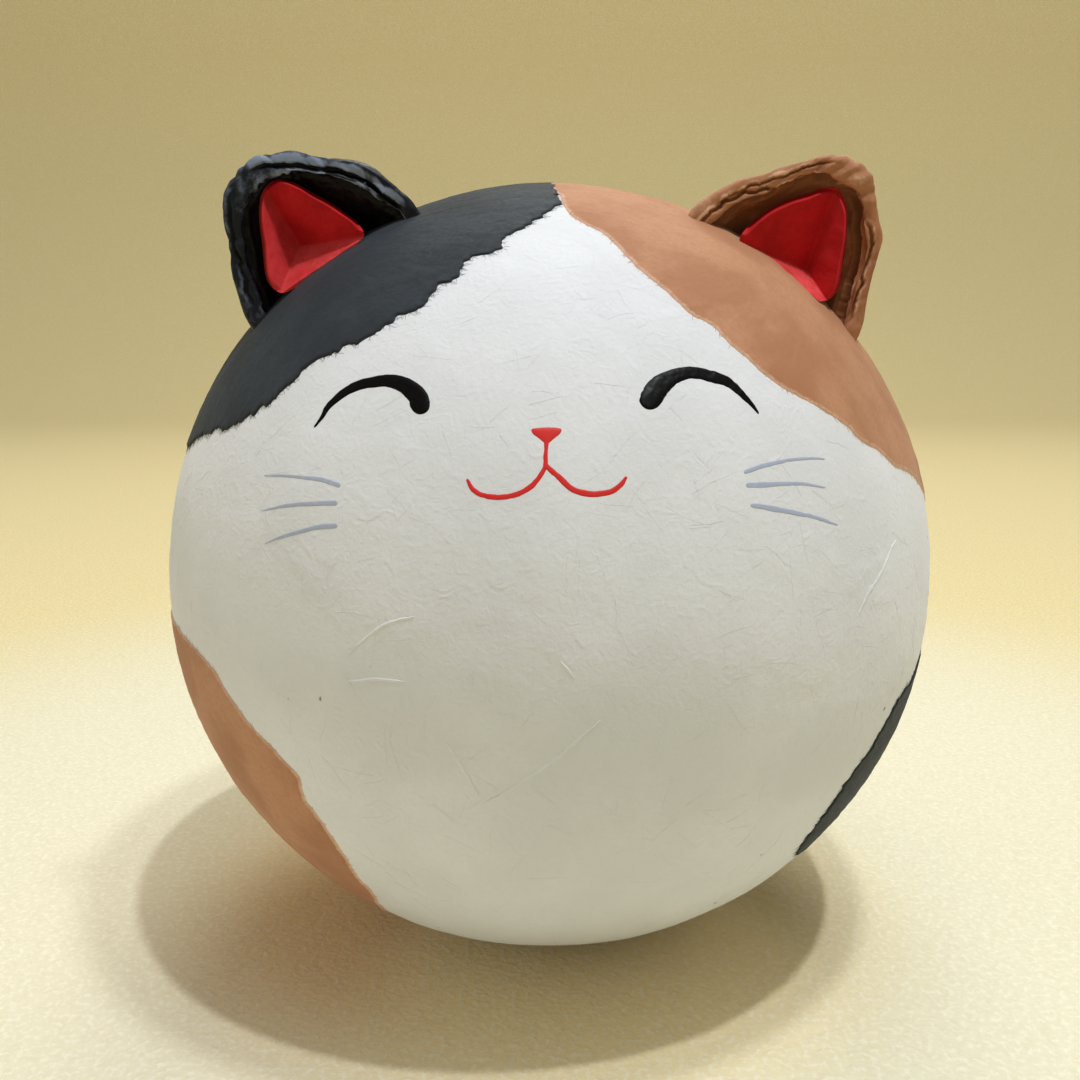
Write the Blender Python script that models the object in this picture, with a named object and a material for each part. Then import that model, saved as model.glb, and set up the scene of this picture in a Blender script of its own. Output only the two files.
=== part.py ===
"""A roly-poly cat: a papier-mache ball that stands on a small flat foot, with two cupped paper ears.

Metres, +Z up. The face looks towards -Y, and the origin is the middle of the flat foot.
"""

import math
from dataclasses import dataclass

import bmesh
import bpy
from mathutils import Matrix, Vector

MM = 0.001

# The ball and the small flat that it rests on
BALL_DIAMETER = 100 * MM
FOOT_DIAMETER = 16 * MM
BALL_COLUMNS = 64
BALL_RINGS = 32

# What the pasted pieces leave free below their skins
SEAT_GAP = 0.3 * MM

# What both ears share
EAR_HOLLOW_DEPTH = 7.0 * MM
EAR_WALL = 1.6 * MM
RIM_THICKNESS = 2.2 * MM
EAR_FORWARD = 22.0
ROOT_MARGIN = 2.5 * MM
EAR_STEPS = 28
WALL_STEPS = 6
RIM_STEPS = 4

# What both red linings share
LINING_THICKNESS = 0.5 * MM
LINING_FOLD_RADIUS = 2.6 * MM
LINING_FRONT = 1.2 * MM
LINING_TIP_SHARE = 0.96
LINING_CORNER_CUT = 0.3
LINING_COLUMNS = 10
LINING_WALL_ROWS = 9
LINING_FOLD_ROWS = 4
LINING_FLOOR_ROWS = 4


@dataclass(frozen=True)
class Ear:
    """The sizes of one ear and of the bare wall that it leaves around its lining.

    Spread leans it to the side. The powers bend its outline: left side, right side and tip.
    """

    name: str
    width: float
    height: float
    left_power: float
    right_power: float
    tip_power: float
    spread: float
    bare_left: float
    bare_right: float
    bare_tip: float


BLACK_EAR = Ear(
    name="black_ear",
    width=24.4 * MM,
    height=13.6 * MM,
    left_power=1.30,
    right_power=1.30,
    tip_power=1.11,
    spread=-31.3,
    bare_left=3.8 * MM,
    bare_right=7.8 * MM,
    bare_tip=2.8 * MM,
)
BROWN_EAR = Ear(
    name="brown_ear",
    width=25.4 * MM,
    height=14.8 * MM,
    left_power=1.55,
    right_power=1.80,
    tip_power=1.25,
    spread=34.0,
    bare_left=6.1 * MM,
    bare_right=6.1 * MM,
    bare_tip=3.5 * MM,
)

BALL_RADIUS = BALL_DIAMETER / 2
FOOT_RADIUS = FOOT_DIAMETER / 2
BALL_CENTRE = Vector((0, 0, math.sqrt(BALL_RADIUS**2 - FOOT_RADIUS**2)))
OUTER_DEPTH = EAR_HOLLOW_DEPTH + EAR_WALL


def clear_scene():
    """Removes whatever the file already holds."""
    for old in list(bpy.data.objects):
        bpy.data.objects.remove(old)


def paper(name, colour, roughness):
    """A matt paper finish of one colour."""
    material = bpy.data.materials.new(name)
    material.use_nodes = True
    shader = material.node_tree.nodes["Principled BSDF"]
    shader.inputs["Base Color"].default_value = (*colour, 1)
    shader.inputs["Roughness"].default_value = roughness
    shader.inputs["Metallic"].default_value = 0
    return material


def add_piece(name, bm, material=None):
    """Turns a bmesh into a named, smooth-shaded object."""
    mesh = bpy.data.meshes.new(name)
    bm.to_mesh(mesh)
    bm.free()
    mesh.shade_smooth()
    mesh.set_sharp_from_angle(angle=math.radians(40))
    piece = bpy.data.objects.new(name, mesh)
    bpy.context.scene.collection.objects.link(piece)
    if material:
        mesh.materials.append(material)
    return piece


def ball_shape(radius):
    """A ball around the origin, cut flat below where it is as wide as the foot."""
    foot_angle = math.asin(FOOT_RADIUS / radius)
    bm = bmesh.new()
    rings = []
    for ring in range(BALL_RINGS):
        down = foot_angle + (math.pi - foot_angle) * ring / BALL_RINGS
        across, height = radius * math.sin(down), -radius * math.cos(down)
        turns = [math.tau * column / BALL_COLUMNS for column in range(BALL_COLUMNS)]
        rings.append([bm.verts.new((across * math.cos(t), across * math.sin(t), height)) for t in turns])
    pole = bm.verts.new((0, 0, radius))
    bm.faces.new(rings[0])
    for column in range(BALL_COLUMNS):
        for lower, upper in zip(rings, rings[1:]):
            bm.faces.new((lower[column - 1], lower[column], upper[column], upper[column - 1]))
        bm.faces.new((rings[-1][column - 1], rings[-1][column], pole))
    bmesh.ops.recalc_face_normals(bm, faces=bm.faces)
    return bm


def make_ball(material):
    """The ball, standing on its foot."""
    ball = add_piece("ball", ball_shape(BALL_RADIUS), material)
    ball.location = BALL_CENTRE
    return ball


def make_seat_cutter():
    """The ball grown by the seat gap. It trims whatever is pasted on the ball."""
    cutter = add_piece("seat_cutter", ball_shape(BALL_RADIUS + SEAT_GAP))
    cutter.location = BALL_CENTRE
    cutter.hide_render = True
    cutter.display_type = "WIRE"
    return cutter


def ball_drop(x, y):
    """How far the ball's skin falls below the plane that touches it, at a distance from the touching point."""
    return BALL_RADIUS - math.sqrt(BALL_RADIUS**2 - x**2 - y**2)


def ear_frame(ear):
    """Where an ear stands: its x runs along its feet, its y to the back and its z away from the ball."""
    spread, forward = math.radians(ear.spread), math.radians(EAR_FORWARD)
    away = Vector((math.sin(spread), -math.cos(spread) * math.sin(forward), math.cos(spread) * math.cos(forward)))
    along = Vector((0, 1, 0)).cross(away).normalized()
    upright = Matrix((along, away.cross(along), away)).transposed().to_4x4()
    return Matrix.Translation(BALL_CENTRE + away * BALL_RADIUS) @ upright


def ear_root(ear):
    """How deep an ear's bare shell starts below the ball's skin, before the ball trims it."""
    return ball_drop(ear.width / 2, OUTER_DEPTH) + ROOT_MARGIN


def ear_outline(ear, angle):
    """A point of the rim's outer edge: the foot at +x is at 0, the tip at a quarter turn."""
    side = math.cos(angle)
    power = ear.right_power if side > 0 else ear.left_power
    across = math.copysign(abs(side) ** power, side) * ear.width / 2
    return Vector((across, 0, ear.height * math.sin(angle) ** ear.tip_power))


def rim_reach(ear, x, z):
    """How far the rim's outer edge lies from the root's middle, in the direction of a point."""
    root = ear_root(ear)
    if (z + root) * ear.width / 2 < root * abs(x):
        return ear.width / 2 * math.hypot(x, z + root) / abs(x)
    wanted = math.atan2(z + root, x)
    low, high = 0.0, math.pi
    for _ in range(40):
        middle = (low + high) / 2
        edge = ear_outline(ear, middle)
        if math.atan2(edge.z + root, edge.x) < wanted:
            low = middle
        else:
            high = middle
    edge = ear_outline(ear, low)
    return math.hypot(edge.x, edge.z + root)


def wall_point(ear, x, z):
    """The point of the hollow's wall that the front view shows at a place."""
    reach = rim_reach(ear, x, z) - RIM_THICKNESS
    share = min(math.hypot(x, z + ear_root(ear)) / reach, 1.0)
    return Vector((x, EAR_HOLLOW_DEPTH * math.sqrt(1 - share**2), z))


def wall_section(ear, edge):
    """The wall's section on the line from the root's middle to a point of the rim: back, rim, hollow."""
    middle = Vector((0, 0, -ear_root(ear)))
    along = (edge - middle).normalized()
    back = Vector((0, 1, 0))
    reach = (edge - middle).length
    hollow_reach = reach - RIM_THICKNESS
    turns = [math.pi / 2 * step / (WALL_STEPS + 1) for step in range(1, WALL_STEPS + 1)]
    profile = [(reach * math.sin(turn), OUTER_DEPTH * math.cos(turn)) for turn in turns]
    for step in range(RIM_STEPS + 1):
        turn = math.pi * step / RIM_STEPS
        out = hollow_reach + RIM_THICKNESS / 2 * (1 + math.cos(turn))
        profile.append((out, -RIM_THICKNESS / 2 * math.sin(turn)))
    profile += [(hollow_reach * math.sin(turn), EAR_HOLLOW_DEPTH * math.cos(turn)) for turn in reversed(turns)]
    return [middle + along * out + back * depth for out, depth in profile]


def make_ear(ear, cutter, material):
    """One cupped ear, trimmed by the ball that it is pasted on."""
    root = ear_root(ear)
    edges = [Vector((ear.width / 2, 0, -root))]
    edges += [ear_outline(ear, math.pi * step / EAR_STEPS) for step in range(EAR_STEPS + 1)]
    edges.append(Vector((-ear.width / 2, 0, -root)))
    bm = bmesh.new()
    outside = bm.verts.new((0, OUTER_DEPTH, -root))
    inside = bm.verts.new((0, EAR_HOLLOW_DEPTH, -root))
    sections = [[outside, *map(bm.verts.new, wall_section(ear, edge)), inside] for edge in edges]
    for first, second in zip(sections, sections[1:]):
        for i in range(len(first) - 1):
            corners = (first[i], first[i + 1], second[i + 1], second[i])
            bm.faces.new(dict.fromkeys(corners))
    bm.faces.new(sections[0] + sections[-1][-2:0:-1])
    bmesh.ops.recalc_face_normals(bm, faces=bm.faces)
    piece = add_piece(ear.name, bm, material)
    piece.matrix_world = ear_frame(ear)
    trim = piece.modifiers.new("Seat on the ball", "BOOLEAN")
    trim.operation = "DIFFERENCE"
    trim.solver = "EXACT"
    trim.object = cutter
    return piece


def off_the_wall(ear, x, z):
    """A point of the hollow's wall, moved into the hollow by the seat gap."""
    step = 0.05 * MM
    here = wall_point(ear, x, z)
    slope_x = (wall_point(ear, x + step, z).y - wall_point(ear, x - step, z).y) / (2 * step)
    slope_z = (wall_point(ear, x, z + step).y - wall_point(ear, x, z - step).y) / (2 * step)
    return here + Vector((slope_x, -1, slope_z)).normalized() * SEAT_GAP


def off_the_ball(x, y):
    """A point of the ball's skin in an ear's frame, raised by the seat gap."""
    away = Vector((x, y, BALL_RADIUS - ball_drop(x, y))).normalized()
    return away * (BALL_RADIUS + SEAT_GAP) - Vector((0, 0, BALL_RADIUS))


def narrowing(share):
    """How wide the lining still is, as a share, from its lower corners at 0 to its rounded tip at 1."""
    return (1 - share**1.5) ** 0.85


def lining_column(ear, place):
    """The lining's line down the wall, round its fold and forward on the ball. Place runs from -1 to 1."""
    middle_x = (ear.bare_left - ear.bare_right) / 2
    foot_x = middle_x + place * (ear.width - ear.bare_left - ear.bare_right) / 2
    foot = off_the_wall(ear, foot_x, -ball_drop(foot_x, EAR_HOLLOW_DEPTH))
    bend_top = foot.z + LINING_FOLD_RADIUS
    rise = ear.height - ear.bare_tip - bend_top
    points = []
    for row in range(LINING_WALL_ROWS + 1):
        share = LINING_TIP_SHARE * (1 - row / LINING_WALL_ROWS)
        x = middle_x * (1 - share) + (foot_x - middle_x) * narrowing(share)
        points.append(off_the_wall(ear, x, bend_top + rise * share))
    bend_end = off_the_ball(foot_x, foot.y - LINING_FOLD_RADIUS)
    bend_start = points[-1].copy()
    for row in range(1, LINING_FOLD_ROWS + 1):
        t = row / LINING_FOLD_ROWS
        points.append(bend_start.lerp(foot, t).lerp(foot.lerp(bend_end, t), t))
    for row in range(1, LINING_FLOOR_ROWS + 1):
        t = row / LINING_FLOOR_ROWS
        x = foot_x + (middle_x - foot_x) * LINING_CORNER_CUT * t**3
        points.append(off_the_ball(x, bend_end.y + (LINING_FRONT - bend_end.y) * t))
    return points


def make_lining(ear, material):
    """The red lining: a thin folded sheet that lies in the hollow and comes forward on the ball."""
    places = [2 * column / LINING_COLUMNS - 1 for column in range(LINING_COLUMNS + 1)]
    bm = bmesh.new()
    columns = [[bm.verts.new(point) for point in lining_column(ear, place)] for place in places]
    for left, right in zip(columns, columns[1:]):
        for row in range(len(left) - 1):
            bm.faces.new((left[row], left[row + 1], right[row + 1], right[row]))
    piece = add_piece(ear.name + "_lining", bm, material)
    piece.matrix_world = ear_frame(ear)
    body = piece.modifiers.new("Paper thickness", "SOLIDIFY")
    body.thickness = LINING_THICKNESS
    body.offset = 1
    body.use_even_offset = True
    return piece


def main():
    """Builds the ball, the ears and their linings."""
    clear_scene()
    white = paper("white_paper", (0.76, 0.75, 0.70), 0.85)
    black = paper("black_paper", (0.035, 0.038, 0.045), 0.6)
    brown = paper("brown_paper", (0.42, 0.20, 0.10), 0.8)
    red = paper("red_paper", (0.45, 0.02, 0.02), 0.8)
    make_ball(white)
    cutter = make_seat_cutter()
    make_ear(BLACK_EAR, cutter, black)
    make_ear(BROWN_EAR, cutter, brown)
    make_lining(BLACK_EAR, red)
    make_lining(BROWN_EAR, red)


main()
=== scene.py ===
"""A papier-mache roly-poly cat in torn dyed washi, with brush-painted strokes for its face.

Metres. The ball stands at z = 0 and its face looks towards -Y. The face, the torn borders and the ears' rims
are placed by pixels of the photograph, 1080 pixels square, through the view that PhotoCamera holds.
"""

import functools
import itertools
import logging
import math
from collections.abc import Callable
from dataclasses import dataclass
from enum import Enum

import bmesh
import bpy
import numpy as np
from mathutils import Matrix, Vector


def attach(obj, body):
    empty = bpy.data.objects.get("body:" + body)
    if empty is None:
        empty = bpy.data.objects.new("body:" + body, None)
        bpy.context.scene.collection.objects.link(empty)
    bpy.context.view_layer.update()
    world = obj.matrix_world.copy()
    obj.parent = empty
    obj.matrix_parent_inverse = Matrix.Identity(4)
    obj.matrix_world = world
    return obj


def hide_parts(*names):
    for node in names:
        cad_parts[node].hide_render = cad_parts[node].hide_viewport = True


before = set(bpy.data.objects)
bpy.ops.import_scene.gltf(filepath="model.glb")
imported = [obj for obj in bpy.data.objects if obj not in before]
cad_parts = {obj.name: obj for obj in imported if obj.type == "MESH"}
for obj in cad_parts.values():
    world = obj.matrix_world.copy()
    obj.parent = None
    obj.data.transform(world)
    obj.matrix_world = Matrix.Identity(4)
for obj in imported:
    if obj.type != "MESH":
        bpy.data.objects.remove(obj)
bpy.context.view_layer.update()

MM = 0.001
LOG = logging.getLogger("roly_poly_cat")
AXIS_PRIMES = (73856093, 19349663, 83492791)
SEED_PRIME = 40503
FIRST_KEY = 977
KEY_MIXERS = ((13, 1274126177), (15, 668265263))
KNOT_STEPS = 24

Pixel = tuple[float, float]
Turn = tuple[float, float]
Colour = tuple[float, float, float]
Socket = bpy.types.NodeSocket
DepthAt = Callable[[np.ndarray, np.ndarray], np.ndarray]


class Slot(Enum):
    """The record's material slots."""

    WHITE = "white_paper"
    BLACK = "black_paper"
    BROWN = "brown_paper"
    RED = "red_paper"


def unit(vectors: np.ndarray) -> np.ndarray:
    """The same vectors, each of them one long."""
    return vectors / np.linalg.norm(vectors, axis=-1, keepdims=True)


def smoothstep(values: np.ndarray, low: float, high: float) -> np.ndarray:
    """A soft ramp from 0 at low to 1 at high."""
    share = np.clip((values - low) / (high - low), 0.0, 1.0)
    return share * share * (3 - 2 * share)


def lattice_values(cells: np.ndarray, seed: int) -> np.ndarray:
    """A fixed random value for each whole-numbered place.

    Args:
        cells: The places, with x, y and z on the last axis.
        seed: Picks the values.

    Returns:
        One value between -1 and 1 for each place.
    """
    key = seed * SEED_PRIME + FIRST_KEY
    for axis, prime in enumerate(AXIS_PRIMES):
        key = key ^ cells[..., axis] * prime
    for shift, factor in KEY_MIXERS:
        key = (key ^ key >> shift) * factor & 0xFFFFFFFF
    return ((key ^ key >> 14) & 0xFFFF) / 32767.5 - 1


def facets(across: np.ndarray, along: np.ndarray, seed: int) -> np.ndarray:
    """Noise made of flat triangles that meet at sharp creases, like crumpled paper.

    Args:
        across: Each point's place across the sheet, in facets.
        along: Its place along the sheet, in facets.
        seed: Picks the pattern.

    Returns:
        One value between -1 and 1 for each point.
    """
    base = np.stack(np.broadcast_arrays(np.floor(across), np.floor(along), 0.0), axis=-1).astype(np.int64)
    a = across - np.floor(across)
    b = along - np.floor(along)
    here = lattice_values(base, seed)
    beyond = lattice_values(base + np.array((1, 1, 0)), seed)
    right = lattice_values(base + np.array((1, 0, 0)), seed)
    above = lattice_values(base + np.array((0, 1, 0)), seed)
    beside = np.where(a > b, right, above)
    low = np.minimum(a, b)
    high = np.maximum(a, b)
    return here * (1 - high) + beside * (high - low) + beyond * low


def lattice_noise(points: np.ndarray, size: float, seed: int) -> np.ndarray:
    """Smooth noise between -1 and 1.

    Args:
        points: The places to read, with x, y and z on the last axis.
        size: The size of one lump, in the points' own units.
        seed: Picks the pattern.

    Returns:
        One value for each point.
    """
    cells = points / size
    base = np.floor(cells).astype(np.int64)
    share = cells - base
    share = share**3 * (share * (share * 6 - 15) + 10)
    total = np.zeros(points.shape[:-1])
    for corner in itertools.product((0, 1), repeat=3):
        weight = np.where(np.array(corner) == 1, share, 1 - share).prod(axis=-1)
        total += weight * lattice_values(base + np.array(corner), seed)
    return total


def layered_noise(points: np.ndarray, size: float, layers: int, seed: int) -> np.ndarray:
    """Noise with finer and weaker layers added, each half as large as the one before it.

    Args:
        points: The places to read, with x, y and z on the last axis.
        size: The size of the largest lumps.
        layers: How many layers are added.
        seed: Picks the pattern.

    Returns:
        One value for each point.
    """
    total = np.zeros(points.shape[:-1])
    for layer in range(layers):
        total += 0.5**layer * lattice_noise(points, size * 0.5**layer, seed + layer)
    return total


def creased(noise: np.ndarray) -> np.ndarray:
    """Noise turned into sharp crests, between 0 and 1, where it crosses zero."""
    return (1 - np.clip(np.abs(noise), 0, 1)) ** 2


def smooth_path(knots: np.ndarray, step: float, closed: bool = False) -> np.ndarray:
    """An even row of points on a smooth curve.

    Args:
        knots: The points that the curve passes. Columns after the third are carried along.
        step: The distance between neighbours, in the knots' units.
        closed: Whether the curve returns to its first knot.

    Returns:
        The row of points. A closed curve leaves out its last point, which is the first again.
    """
    if closed:
        padded = np.vstack([knots[-1:], knots, knots[:2]])
    else:
        padded = np.vstack([2 * knots[:1] - knots[1:2], knots, 2 * knots[-1:] - knots[-2:-1]])
    t = np.linspace(0, 1, KNOT_STEPS, endpoint=False)[:, None]
    runs = []
    for a, b, c, d in zip(padded, padded[1:], padded[2:], padded[3:]):
        curve = 2 * b + (c - a) * t + (2 * a - 5 * b + 4 * c - d) * t**2 + (3 * b - a - 3 * c + d) * t**3
        runs.append(curve / 2)
    line = np.vstack([*runs, padded[-2:-1]])
    strides = np.linalg.norm(np.diff(line[:, :3], axis=0), axis=1)
    run = np.concatenate([[0], np.cumsum(strides)])
    places = np.linspace(0, run[-1], max(3, round(run[-1] / step)) + 1)
    even = np.stack([np.interp(places, run, column) for column in line.T], axis=1)
    return even[:-1] if closed else even


def grid_normals(grid: np.ndarray) -> np.ndarray:
    """The unit normal at each point of a grid of points."""
    return unit(np.cross(np.gradient(grid, axis=0), np.gradient(grid, axis=1)) + 1e-18)


@dataclass(frozen=True)
class GridMesh:
    """A mesh made of a grid of points. Its rows may close into rings, and the last one may end in a point."""

    name: str
    points: np.ndarray
    close_columns: bool = False
    hub: np.ndarray | None = None

    def build(self, attributes: dict[str, np.ndarray] | None = None) -> bpy.types.Object:
        """Makes the object.

        Args:
            attributes: A number for each grid point, by the name that a material reads.

        Returns:
            The object, smooth-shaded and at the origin.
        """
        rows, columns = self.points.shape[:2]
        index = np.arange(rows * columns).reshape(rows, columns)
        if self.close_columns:
            index = np.hstack([index, index[:, :1]])
        faces = np.stack([index[:-1, :-1], index[:-1, 1:], index[1:, 1:], index[1:, :-1]], axis=-1)
        faces = faces.reshape(-1, 4).tolist()
        vertices = self.points.reshape(-1, 3).tolist()
        if self.hub is not None:
            ring = index[-1].tolist()
            faces += [[a, b, len(vertices)] for a, b in zip(ring, ring[1:])]
            vertices.append(self.hub.tolist())
        mesh = bpy.data.meshes.new(self.name)
        mesh.from_pydata(vertices, [], faces)
        for key, values in (attributes or {}).items():
            numbers = np.append(values.reshape(-1), values.reshape(-1)[-1:] if self.hub is not None else [])
            mesh.attributes.new(key, "FLOAT", "POINT").data.foreach_set("value", numbers.astype(np.float32))
        mesh.shade_smooth()
        return link_object(self.name, mesh)


def link_object(name: str, mesh: bpy.types.Mesh) -> bpy.types.Object:
    """Puts a mesh into the scene.

    Args:
        name: The object's name.
        mesh: Its mesh.

    Returns:
        The object, at the origin.
    """
    piece = bpy.data.objects.new(name, mesh)
    bpy.context.scene.collection.objects.link(piece)
    return piece


def face_away_from(piece: bpy.types.Object, inside: np.ndarray) -> None:
    """Turns an open sheet's faces so that most of them look away from a point.

    Args:
        piece: The sheet.
        inside: The point behind it.
    """
    mesh = piece.data
    normals = np.array([face.normal for face in mesh.polygons])
    centres = np.array([face.center for face in mesh.polygons])
    if np.sum(normals * (centres - inside)) < 0:
        mesh.flip_normals()


def hand_over(piece: bpy.types.Object, slot: Slot, *replaced: str) -> None:
    """Rides a finished piece on the object's body, hides the nodes that it replaces and logs its faces and
    slot.

    Args:
        piece: The piece, a plain mesh at the origin.
        slot: The material slot that it stands for.
        replaced: The nodes that it stands in for.
    """
    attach(piece, "root")
    if replaced:
        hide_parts(*replaced)
    LOG.info("%s: %d faces, %s", piece.name, len(piece.data.polygons), slot.value)


def add_node(
    tree: bpy.types.NodeTree, kind: str, inputs: dict[str | int, object], **settings: object
) -> bpy.types.Node:
    """Adds a node to a tree.

    Args:
        tree: The tree of a material or of Geometry Nodes.
        kind: Blender's name of the node's type.
        inputs: A socket to link from or a plain value, by the input's name or number.
        settings: The node's own options.

    Returns:
        The node.
    """
    node = tree.nodes.new(kind)
    for key, value in settings.items():
        setattr(node, key, value)
    for key, value in inputs.items():
        if isinstance(value, Socket):
            tree.links.new(value, node.inputs[key])
        else:
            node.inputs[key].default_value = value
    return node


class Recipe:
    """A material being mixed, with short calls for the nodes that the finishes share."""

    def __init__(self, name: str) -> None:
        """Starts a material that has only its shader.

        Args:
            name: The material's name.
        """
        self.material = bpy.data.materials.new(name)
        self.material.use_nodes = True
        self.nodes = self.material.node_tree.nodes
        self.links = self.material.node_tree.links
        self.shader = self.nodes["Principled BSDF"]
        self.place = self.nodes.new("ShaderNodeTexCoord").outputs["Object"]

    def add(self, kind: str, inputs: dict[str | int, object], **settings: object) -> bpy.types.Node:
        """Adds a node to this material."""
        return add_node(self.material.node_tree, kind, inputs, **settings)

    def noise(self, size: float, detail: float = 3, distortion: float = 0, crests: bool = False) -> Socket:
        """Noise from 0 to 1 with lumps of a real size, or with sharp crests like fibres.

        Args:
            size: The size of a lump in metres.
            detail: How many finer layers are added.
            distortion: How far the lumps are stirred.
            crests: Whether the noise has sharp crests.

        Returns:
            The noise's output.
        """
        kind = "RIDGED_MULTIFRACTAL" if crests else "FBM"
        inputs = {"Vector": self.place, "Scale": 1 / size, "Detail": detail, "Distortion": distortion}
        return self.add("ShaderNodeTexNoise", inputs, noise_type=kind, normalize=True).outputs[0]

    def attribute(self, name: str) -> Socket:
        """A number that the mesh carries at each point."""
        return self.add("ShaderNodeAttribute", {}, attribute_name=name).outputs["Fac"]

    def ramp(self, value: Socket, low: float, high: float, top: float = 1.0, bottom: float = 0.0) -> Socket:
        """A soft ramp of a value.

        Args:
            value: What the ramp reads.
            low: Where the ramp begins.
            high: Where it ends.
            top: What it gives at high.
            bottom: What it gives at low.

        Returns:
            The ramp's output.
        """
        inputs = {"Value": value, "From Min": low, "From Max": high, "To Min": bottom, "To Max": top}
        return self.add("ShaderNodeMapRange", inputs, interpolation_type="SMOOTHSTEP").outputs[0]

    def math(self, operation: str, first: Socket | float, second: Socket | float) -> Socket:
        """One sum of two numbers."""
        return self.add("ShaderNodeMath", {0: first, 1: second}, operation=operation).outputs[0]

    def blend(self, share: Socket, first: Socket | Colour, second: Socket | Colour) -> Socket:
        """One colour that gives way to another.

        Args:
            share: 0 for the first colour and 1 for the second.
            first: The first colour.
            second: The second colour.

        Returns:
            The mixed colour.
        """
        inputs = {0: share}
        for key, colour in ((6, first), (7, second)):
            inputs[key] = colour if isinstance(colour, Socket) else (*colour, 1)
        return self.add("ShaderNodeMix", inputs, data_type="RGBA").outputs[2]

    def bump(self, height: Socket, depth: float, under: Socket | None = None) -> Socket:
        """A normal bent as if the surface rose and fell.

        Args:
            height: The relief, from 0 to 1.
            depth: How far the surface rises where the height is 1.
            under: A normal that is bent already.

        Returns:
            The bent normal.
        """
        inputs = {"Strength": 1.0, "Distance": depth, "Height": height}
        if under:
            inputs["Normal"] = under
        return self.add("ShaderNodeBump", inputs).outputs[0]

    def finish(
        self, colour: Socket, roughness: Socket | float, normal: Socket, **plain: float
    ) -> bpy.types.Material:
        """Wires the shader up.

        Args:
            colour: The base colour.
            roughness: The roughness, which may vary.
            normal: The bent normal.
            plain: Values for the shader's own sockets, by their names.

        Returns:
            The finished material.
        """
        self.links.new(colour, self.shader.inputs["Base Color"])
        self.links.new(normal, self.shader.inputs["Normal"])
        if isinstance(roughness, Socket):
            self.links.new(roughness, self.shader.inputs["Roughness"])
        else:
            self.shader.inputs["Roughness"].default_value = roughness
        for key, value in plain.items():
            self.shader.inputs[key.replace("_", " ")].default_value = value
        return self.material


@dataclass(frozen=True)
class Finish:
    """A finish that is mixed once and then shared by the pieces that wear it."""

    name: str

    def material(self) -> bpy.types.Material:
        """Mixes the finish's material."""
        raise NotImplementedError

    def dress(self, piece: bpy.types.Object) -> None:
        """Gives a piece this finish."""
        piece.data.materials.append(bpy.data.materials.get(self.name) or self.material())


@dataclass(frozen=True)
class Washi(Finish):
    """Dyed mulberry paper: clouds of dye, a felt of fine fibres, a paler torn fringe and, for some papers, a
    painted highlight on lit facets.
    """

    tint: Colour
    cloud: Colour
    fibre: Colour
    fringe: Colour
    fringe_width: float = 0.7 * MM
    fringe_rag: float = 0.4 * MM
    cloud_size: float = 9 * MM
    felt_size: float = 0.55 * MM
    felt_depth: float = 0.035 * MM
    strand_size: float = 2.2 * MM
    roughness: float = 0.85
    sheen: float = 0.08
    gloss: float = 0.5
    specks: bool = False
    speck_gap: float = 11 * MM
    speck: Colour = (0.20, 0.14, 0.09)
    torn: bool = True
    painted_light: Colour | None = None

    def material(self) -> bpy.types.Material:
        """Mixes the paper.

        Returns:
            The material. It reads how far each point is from a torn edge, and a share of painted highlight
            when the paper has one.
        """
        mix = Recipe(self.name)
        felt = mix.noise(self.felt_size, detail=5, distortion=0.6)
        strands = mix.noise(self.strand_size, detail=5, distortion=1.6, crests=True)
        clouds = mix.ramp(mix.noise(self.cloud_size, detail=4), 0.36, 0.64)
        colour = mix.blend(clouds, self.tint, self.cloud)
        colour = mix.blend(mix.ramp(felt, 0.42, 0.75, top=0.4), colour, self.cloud)
        colour = mix.blend(mix.ramp(strands, 0.55, 0.85, top=0.35), colour, self.fibre)
        if self.specks:
            cells = {"Vector": mix.place, "Scale": 1 / self.speck_gap}
            spots = mix.add("ShaderNodeTexVoronoi", cells).outputs["Distance"]
            speck = mix.math("MULTIPLY", mix.ramp(spots, 0.035, 0.015), mix.ramp(felt, 0.4, 0.6))
            colour = mix.blend(speck, colour, self.speck)
        if self.torn:
            ragged = mix.noise(self.fringe_rag, detail=4, distortion=1.0)
            ragged = mix.math("MULTIPLY", ragged, self.fringe_width * 1.3)
            reach = mix.math("SUBTRACT", mix.attribute("edge"), ragged)
            fringe = mix.ramp(reach, self.fringe_width * 0.45, -self.fringe_width * 0.5)
            colour = mix.blend(fringe, colour, self.fringe)
        # Painted highlight: a lighter colour laid where the mesh marks lit facets, broken up by the felt.
        if self.painted_light:
            wear_and_painted_light = mix.math("MULTIPLY", mix.attribute("painted_light"), mix.ramp(felt, 0.25, 0.6, bottom=0.6))
            colour = mix.blend(wear_and_painted_light, colour, self.painted_light)
        normal = mix.bump(strands, self.felt_depth)
        normal = mix.bump(felt, self.felt_depth, under=normal)
        rough = mix.ramp(felt, 0.3, 0.7, top=self.roughness, bottom=self.roughness - 0.12)
        return mix.finish(colour, rough, normal, Sheen_Weight=self.sheen, Specular_IOR_Level=self.gloss)


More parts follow.
